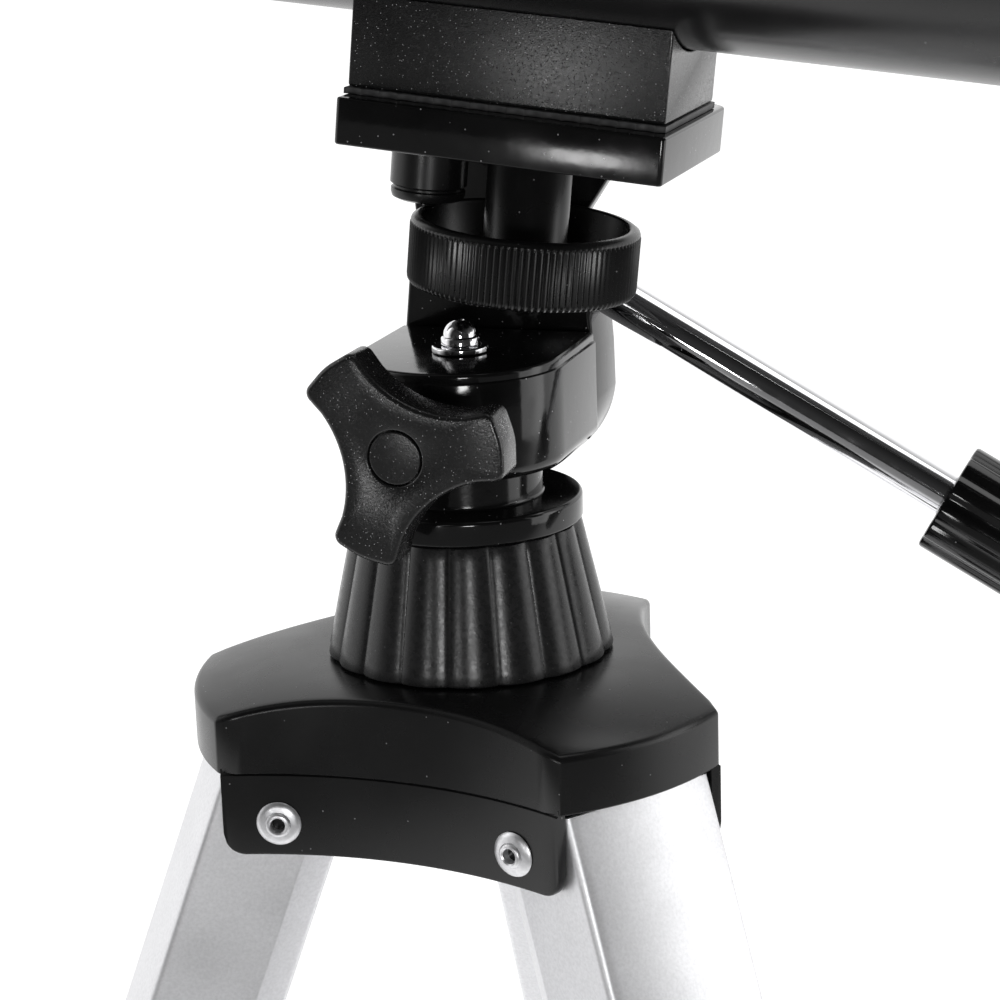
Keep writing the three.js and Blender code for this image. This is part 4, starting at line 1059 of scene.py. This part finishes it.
def make_eyepiece():
    ribs = 40
    bottom, top, radius = EYEPIECE["bottom"], EYEPIECE["top"], EYEPIECE["radius"]
    barrel = EYEPIECE["barrel"]
    grip = knurl(ribs, 0.35, 0.35, radius - 0.3, 42, 54)
    profile = [(8, bottom), (barrel - 0.4, bottom), (barrel, bottom + 0.4), (barrel, 38.3),
               (radius - 0.8, 38.3), (radius, 39.1), (radius, 41.6), (radius, 42.4), (radius, 53.6),
               (radius, 54.4), (radius, top - 8.6), (radius - 0.6, top - 8), (13.8, top - 6.4),
               (13.5, top - 5.8), (13.5, top - 0.9), (12.6, top), (9.6, top), (8.8, top - 0.4),
               (7.3, top - 3), (7.3, 49), (8, 47)]
    at = ALONG_TUBE @ Matrix.Translation((DIAGONAL["axis"], 0, 0))
    piece("eyepiece", turned(profile, ribs * 8, grip), at)
    barrel_tube = hoop(barrel - 0.6, barrel + 0.05, bottom, 38.2, 0.2)
    piece("eyepiece", barrel_tube, at, name="eyepiece_barrel", slot="chrome")


def make_finder():
    x, z, ring = FINDER["x"], FINDER["z"], FINDER["ring"]
    base = bar((x - 16, x + 16), (-11, 11), (30.5, TUBE["radius"] + 4), 1.0)
    stalk = bar((x - 8, x + 8), (-6, 6), (32, z - ring + 2.5), 1.0)
    ring_at = Matrix.Translation((0, 0, z)) @ LENGTHWAYS
    holder = moved(hoop(FINDER["tube"] + 2.5, ring, x - 6, x + 6, 0.8), ring_at)
    piece("finder_bracket", merged(base, stalk, holder), ALONG_TUBE)
    screws = []
    for turn in (60, 180, 300):
        profile = [(0, FINDER["tube"]), (1.4, FINDER["tube"] + 0.3), (1.4, ring + 1.5), (2.8, ring + 1.7),
                   (3.0, ring + 2.1), (3.0, ring + 5.6), (2.7, ring + 6.0), (0, ring + 6.1)]
        lay = Matrix.Translation((x, 0, z)) @ Matrix.Rotation(math.radians(turn), 4, "X")
        screws.append(moved(turned(profile, 120, knurl(20, 0, 0.15, 2.2)), lay))
    for along_x in (x - 12, x + 12):
        screws.append(moved(disc(2.6, TUBE["radius"] + 3.6, TUBE["radius"] + 5.2, 0.6, 32),
                            Matrix.Translation((along_x, 0, 0))))
    piece("finder_bracket", merged(*screws), ALONG_TUBE, name="finder_screws", slot="rivet_steel")
    front, back, tube, bell = FINDER["front"], FINDER["back"], FINDER["tube"], FINDER["bell"]
    shell = [(14.6, front), (bell, front), (bell, front + 22), (tube, front + 34), (tube, back - 16),
             (12.5, back - 14), (12.5, back), (8, back), (8, front + 40), (13.2, front + 20),
             (13.2, front + 10), (14.6, front + 10)]
    radii = [0.4, 0.8, 3.0, 3.0, 0.4, 0.8, 1.0, 0.6, 0, 0, 0, 0]
    at = ALONG_TUBE @ Matrix.Translation((0, 0, z))
    piece("finder_tube", along(shell, radii, 96), at)
    lens = [(14.3 * step / 8, front + 5 + 1.6 * (step / 8) ** 2) for step in range(9)]
    lens += [(14.3, front + 9.7), (0, front + 9.7)]
    piece("finder_lens", moved(turned(lens, 72), LENGTHWAYS), at)


# ---------------------------------------------------------------- legs


def leg_section(grow):
    """The extrusion's section: domed front, flat sides, and chamfers to a flat back."""
    half = LEG["half"] + grow
    front = LEG["front"] + grow
    back, back_half = LEG["back"] - grow, LEG["back_half"] + grow * 0.6
    points = [(LEG["side"], -half), (front, -half)]
    steps = 12
    for step in range(1, steps):
        across = -1 + 2 * step / steps
        points.append((front + LEG["bulge"] * (1 - across**2), across * half))
    points += [(front, half), (LEG["side"], half), (back, back_half), (back, -back_half)]
    radii = [1.6, 2.2] + [0] * (steps - 1) + [2.2, 1.6, 1.6, 1.6]
    return rounded(points, radii, 5)


def level(outline, height):
    return [(x, y, height) for x, y in outline]


def leg_tube(grow, bottom, top):
    outer, inner = leg_section(grow), leg_section(grow - LEG_WALL)
    rings = [level(outer, bottom), level(outer, top), level(inner, top), level(inner, bottom)]
    return stacked(rings, closed=True)


def make_leg(letter):
    at = leg_place(letter)
    piece(f"leg_upper_{letter}", leg_tube(0, UPPER["bottom"], UPPER["top"]), at)
    piece(f"leg_lower_{letter}", leg_tube(-SLIDE_STEP, LOWER["bottom"], LOWER["top"]), at)
    piece(f"leg_clamp_{letter}", leg_clamp(), at)
    piece(f"clamp_lever_{letter}", clamp_lever(), at)
    piece(f"brace_clip_{letter}", brace_clip(), at)
    piece(f"foot_{letter}", foot(), at)


def leg_clamp():
    """The plastic clamp at the end of the upper leg, with the two ears of its lever."""
    wall, bottom, top = CLAMP["wall"], CLAMP["bottom"], CLAMP["top"]
    grows = [(wall - 0.8, bottom), (wall - 0.2, bottom + 0.3), (wall, bottom + 1.0), (wall, top - 6),
             (wall - 0.6, top - 1.2), (wall - 1.0, top - 0.4), (wall - 1.6, top), (GAP, top),
             (GAP, UPPER["bottom"] - GAP), (GAP - SLIDE_STEP, UPPER["bottom"] - GAP),
             (GAP - SLIDE_STEP, bottom)]
    body = stacked([level(leg_section(grow), height) for grow, height in grows], closed=True)
    ears = []
    for side in (-1, 1):
        near = sorted((side * (LEVER["half"] + 0.3), side * (LEVER["half"] + 3.3)))
        outline = [(LEG["front"], bottom), (LEVER["out"] + 3.4, bottom),
                   (LEVER["out"] + 3.4, LEVER["at"] + 4), (LEG["front"], LEVER["at"] + 9)]
        ears.append(side_plate(rounded(outline, [0, 3, 3, 0]), near[0], near[1], 0.5))
    ribs = []
    depth = (LEG["side"] + 1, LEG["front"] - 2)
    for side in (-1, 1):
        face = side * (LEG["half"] + wall)
        for i in range(3):
            low = bottom + 6 + 5 * i
            ribs.append(bar(depth, (face - 0.5, face + 0.5), (low, low + 2), 0.3))
    return merged(body, *ears, *ribs)


def clamp_lever():
    """The flip lever, shut against the clamp, with its pin."""
    near, far = LEVER["out"] - LEVER["thick"] / 2, LEVER["out"] + LEVER["thick"] / 2
    outline = arc(LEVER["out"], LEVER["at"], LEVER["thick"] / 2, 180, 360, 14)
    outline += rounded([(far, LEVER["at"]), (far - 0.8, LEVER["at"] + 16), (far, LEVER["top"] - 4),
                        (far + 2.5, LEVER["top"]), (near, LEVER["top"]), (near, LEVER["at"])],
                       [0, 12, 5, 1.0, 1.5, 0], closed=False)[1:-1]
    lever = side_plate(outline, -LEVER["half"], LEVER["half"], 0.8)
    ends = LEVER["half"] + 3.6
    return merged(lever, pin(1.8, -ends, ends, LEVER["out"], LEVER["at"], 0.3))


def brace_clip():
    back = LEG["back"] - 0.3
    outline = rounded(rectangle((CLIP["at"] - 15, CLIP["at"] + 15), (-12, 12)), 3.0)
    lay = Matrix(((0, 0, 1, 0), (0, 1, 0, 0), (1, 0, 0, 0), (0, 0, 0, 1)))
    plate_shell = moved(plate(outline, back - CLIP["plate"], back, 0.5), lay)
    tab_outline = [(CLIP["out"] - 4.5, CLIP["at"] - 6), (back - 1, CLIP["at"] - 8),
                   (back - 1, CLIP["at"] + 8), (CLIP["out"] - 4.5, CLIP["at"] + 6)]
    tab = side_plate(rounded(tab_outline, [4.5, 0, 0, 4.5]), -3, 3, 0.5)
    heads = [moved(disc(2.4, back - CLIP["plate"] - 0.9, back - 1, 0.4, 24),
                   Matrix.Translation((0, side * 7.5, CLIP["at"])) @ lay) for side in (-1, 1)]
    return merged(plate_shell, tab, *heads)


def foot():
    """A rubber shoe, cut level where it meets the floor."""
    outer, inner = leg_section(-SLIDE_STEP + 3), leg_section(-SLIDE_STEP + 0.3)
    slope = math.tan(math.radians(SPLAY))

    def floor_ring(outline, lift):
        return [(x, y, FLOOR_AT - x * slope + lift) for x, y in outline]

    top = LOWER["bottom"] + 28
    rings = [floor_ring(inset(outer, 1.2), 0.0), floor_ring(inset(outer, 0.4), 0.2), floor_ring(outer, 1.2)]
    for step in range(3):
        height = top - 22 + 7 * step
        rings += [level(outer, height), level(inset(outer, 0.7), height + 0.5),
                  level(inset(outer, 0.7), height + 2), level(outer, height + 2.5)]
    rings += [level(outer, top - 1), level(inset(outer, 0.8), top), level(inner, top),
              level(inner, LOWER["bottom"] - 0.3)]
    return stacked(rings)


# ---------------------------------------------------------------- brace


def make_brace():
    hub_at = pivot_of("brace_arm_turn_a").z
    centre = pivot_of("pan")
    at = place(Vector((centre.x, centre.y, hub_at)), AXIS_X, AXIS_Y, AXIS_Z)
    half = HUB["height"] / 2
    profile = [(0, -half), (HUB["radius"], -half), (HUB["radius"], half - 3), (HUB["radius"] - 3, half),
               (9, half), (8, half - 1.5), (0, half - 1.5)]
    shells = [turned(rounded(profile, [0, 1.2, 1.5, 1.5, 0.5, 0.5, 0], closed=False))]
    for letter in LETTERS:
        turn = Matrix.Rotation(math.radians(FIRST_ARM + 120 * LETTERS.index(letter)), 4, "Z")
        outline = [(15, -6), (HUB["pivot"] + 4, -5), (HUB["pivot"] + 4, 5), (15, 6)]
        lug = side_plate(rounded(outline, [0, 4, 4, 0]), -3, 3, 0.5)
        stub = pin(2.4, 0, BRACE_BAR["near"] + BRACE_BAR["thick"] + 0.8, HUB["pivot"], 0)
        shells += [moved(lug, turn), moved(stub, turn)]
    piece("brace_hub", merged(*shells), at)
    for letter in LETTERS:
        make_brace_arm(letter)


def make_brace_arm(letter):
    """A flat bar with a stiffening rib and round ends."""
    at = brace_place(letter)
    clip = pivot_of(f"leg_fold_{letter}") + leg_place(letter).to_3x3() @ Vector((CLIP["out"], 0, CLIP["at"]))
    length = (clip - pivot_of(f"brace_arm_turn_{letter}")).length / MM
    near, far, radius = BRACE_BAR["near"], BRACE_BAR["near"] + BRACE_BAR["thick"], BRACE_BAR["radius"]
    outline = arc(0, 0, radius, 90, 270, 16) + arc(length, 0, radius, -90, 90, 16)
    flat = side_plate(outline, near, far - 1.0, 0.4)
    rim = stacked([level(outline, far - 1.2), level(outline, far - 0.2),
                   level(inset(outline, 0.2), far), level(inset(outline, 1.1), far),
                   level(inset(outline, 1.3), far - 0.2), level(inset(outline, 1.3), far - 1.2)], closed=True)
    head = pin(3.0, far - 1.2, far + 1.1, length, 0, 0.6)
    piece(f"brace_arm_{letter}", merged(flat, moved(rim, SIDEWAYS), head), at)


# ---------------------------------------------------------------- stage, light and camera


BEHIND = (-0.33, 0.94, 0.0)      # the way the photographer looks, on the level


def fading(nodes, links, vector, low, high, to_low, to_high):
    """A value that goes smoothly from one strength to another along the photographer's view."""
    along_view = nodes.new("ShaderNodeVectorMath")
    along_view.operation = "DOT_PRODUCT"
    along_view.inputs[1].default_value = BEHIND
    links.new(vector, along_view.inputs[0])
    fade = nodes.new("ShaderNodeMapRange")
    fade.interpolation_type = "SMOOTHSTEP"
    fade.inputs["From Min"].default_value = low
    fade.inputs["From Max"].default_value = high
    fade.inputs["To Min"].default_value = to_low
    fade.inputs["To Max"].default_value = to_high
    links.new(along_view.outputs["Value"], fade.inputs["Value"])
    return fade.outputs["Result"]


def combined(nodes, links, operation, value_a, value_b):
    node = nodes.new("ShaderNodeMath")
    node.operation = operation
    for socket, value in zip(node.inputs, (value_a, value_b)):
        if isinstance(value, float):
            socket.default_value = value
        else:
            links.new(value, socket)
    return node.outputs["Value"]


def make_floor():
    """A white sweep: bright behind the telescope, dimmer on the photographer's side."""
    bpy.ops.mesh.primitive_circle_add(vertices=96, radius=9, fill_type="NGON", location=(0, 0, 0))
    floor = bpy.context.object
    floor.name = "floor"
    material = bpy.data.materials.new("floor_white")
    material.use_nodes = True
    nodes, links = material.node_tree.nodes, material.node_tree.links
    shader = nodes["Principled BSDF"]
    shader.inputs["Base Color"].default_value = (0.5, 0.5, 0.5, 1)
    shader.inputs["Roughness"].default_value = 0.9
    shader.inputs["Specular IOR Level"].default_value = 0.1
    shader.inputs["Emission Color"].default_value = (1, 1, 1, 1)
    where = nodes.new("ShaderNodeTexCoord").outputs["Object"]
    glow = fading(nodes, links, where, -1.4, -0.2, 0.0, 0.95)
    seen = combined(nodes, links, "MULTIPLY", nodes.new("ShaderNodeLightPath").outputs["Is Camera Ray"], 0.85)
    links.new(combined(nodes, links, "MAXIMUM", glow, seen), shader.inputs["Emission Strength"])
    floor.data.materials.append(material)


def make_world():
    """A white room, dimmer overhead and dark behind the photographer."""
    world = bpy.data.worlds.new("studio")
    bpy.context.scene.world = world
    world.use_nodes = True
    nodes, links = world.node_tree.nodes, world.node_tree.links
    background = nodes["Background"]
    where = nodes.new("ShaderNodeTexCoord").outputs["Generated"]
    wall = fading(nodes, links, where, -0.5, 0.1, 0.03, 1.15)
    height = nodes.new("ShaderNodeSeparateXYZ")
    links.new(where, height.inputs[0])
    ceiling = nodes.new("ShaderNodeMapRange")
    ceiling.inputs["From Min"].default_value = 0.35
    ceiling.inputs["From Max"].default_value = 0.85
    ceiling.inputs["To Min"].default_value = 1.0
    ceiling.inputs["To Max"].default_value = 0.3
    links.new(height.outputs["Z"], ceiling.inputs["Value"])
    room = combined(nodes, links, "MULTIPLY", wall, ceiling.outputs["Result"])
    seen = nodes.new("ShaderNodeLightPath").outputs["Is Camera Ray"]
    links.new(combined(nodes, links, "MAXIMUM", room, seen), background.inputs["Strength"])
    background.inputs["Color"].default_value = (1, 1, 1, 1)


def softbox(name, target, azimuth, elevation, distance, size, power):
    """A square area light. Azimuth 0 is the -Y side and 90 is +X."""
    light = bpy.data.lights.new(name, "AREA")
    light.shape = "RECTANGLE"
    light.size, light.size_y = size
    light.energy = power
    holder = bpy.data.objects.new(name, light)
    turn, rise = math.radians(azimuth), math.radians(elevation)
    away = Vector((math.sin(turn) * math.cos(rise), -math.cos(turn) * math.cos(rise), math.sin(rise)))
    holder.location = target + away * distance
    holder.rotation_euler = away.to_track_quat("Z", "Y").to_euler()
    bpy.context.scene.collection.objects.link(holder)


def make_lights():
    head = pivot_of("tilt")
    softbox("top_light", head, 150, 70, 1.6, (1.5, 1.2), 8)
    softbox("right_light", head, 100, 10, 1.7, (1.0, 1.5), 8)
    softbox("left_light", head, -80, 28, 1.8, (0.6, 1.2), 2)
    softbox("near_light", SHOULDER @ Vector((0, 0, COLLAR["bottom"])), 21, 4, 0.8, (0.14, 0.10), 1.3)
    softbox("knob_light", KNOB_AT @ Vector((0, KNOB["front"], 0)), -10, -4, 0.40, (0.05, 0.05), 0.13)


CAMERA = {"at": (186.0, -518.85, 189.0), "yaw": 18.97, "pitch": 15.4, "roll": 1.92, "lens": 96.65}


def make_camera():
    """The photograph's viewpoint, measured from the shoulder's rim."""
    camera = bpy.data.cameras.new("camera")
    camera.lens = CAMERA["lens"]
    camera.sensor_width = 36
    holder = bpy.data.objects.new("camera", camera)
    yaw, pitch, roll = (math.radians(CAMERA[key]) for key in ("yaw", "pitch", "roll"))
    forward = Vector((-math.sin(yaw) * math.cos(pitch), math.cos(yaw) * math.cos(pitch), -math.sin(pitch)))
    right = Vector((math.cos(yaw), math.sin(yaw), 0))
    up = right.cross(forward)
    tilted_right = right * math.cos(roll) - up * math.sin(roll)
    tilted_up = up * math.cos(roll) + right * math.sin(roll)
    turn = Matrix((tilted_right, tilted_up, -forward)).transposed().to_4x4()
    holder.matrix_world = Matrix.Translation(SHOULDER @ Vector(CAMERA["at"])) @ turn
    camera.clip_start, camera.clip_end = 0.01, 100
    bpy.context.scene.collection.objects.link(holder)
    bpy.context.scene.camera = holder


def finish_cad_nodes():
    """CAD nodes that still show get their slot's procedural material."""
    for node, thing in frame["nodes"].items():
        thing.data.materials.clear()
        thing.data.materials.append(LOOKS[SLOT_OF[node]])


# ---------------------------------------------------------------- the scene

make_camera()
make_floor()
make_world()
make_lights()
finish_cad_nodes()
make_shoulder()
make_column()
make_pan_body()
make_lock_knob()
make_tilt_table()
make_camera_screw()
make_locator_barrel()
make_pad()
make_block()
make_handle()
make_tube()
make_focuser()
make_focus_knobs()
make_diagonal()
make_eyepiece()
make_finder()
make_brace()
for leg_letter in LETTERS:
    make_rivets(leg_letter)
    make_leg(leg_letter)

scene = bpy.context.scene
scene.view_settings.view_transform = "Standard"
scene.view_settings.look = "None"
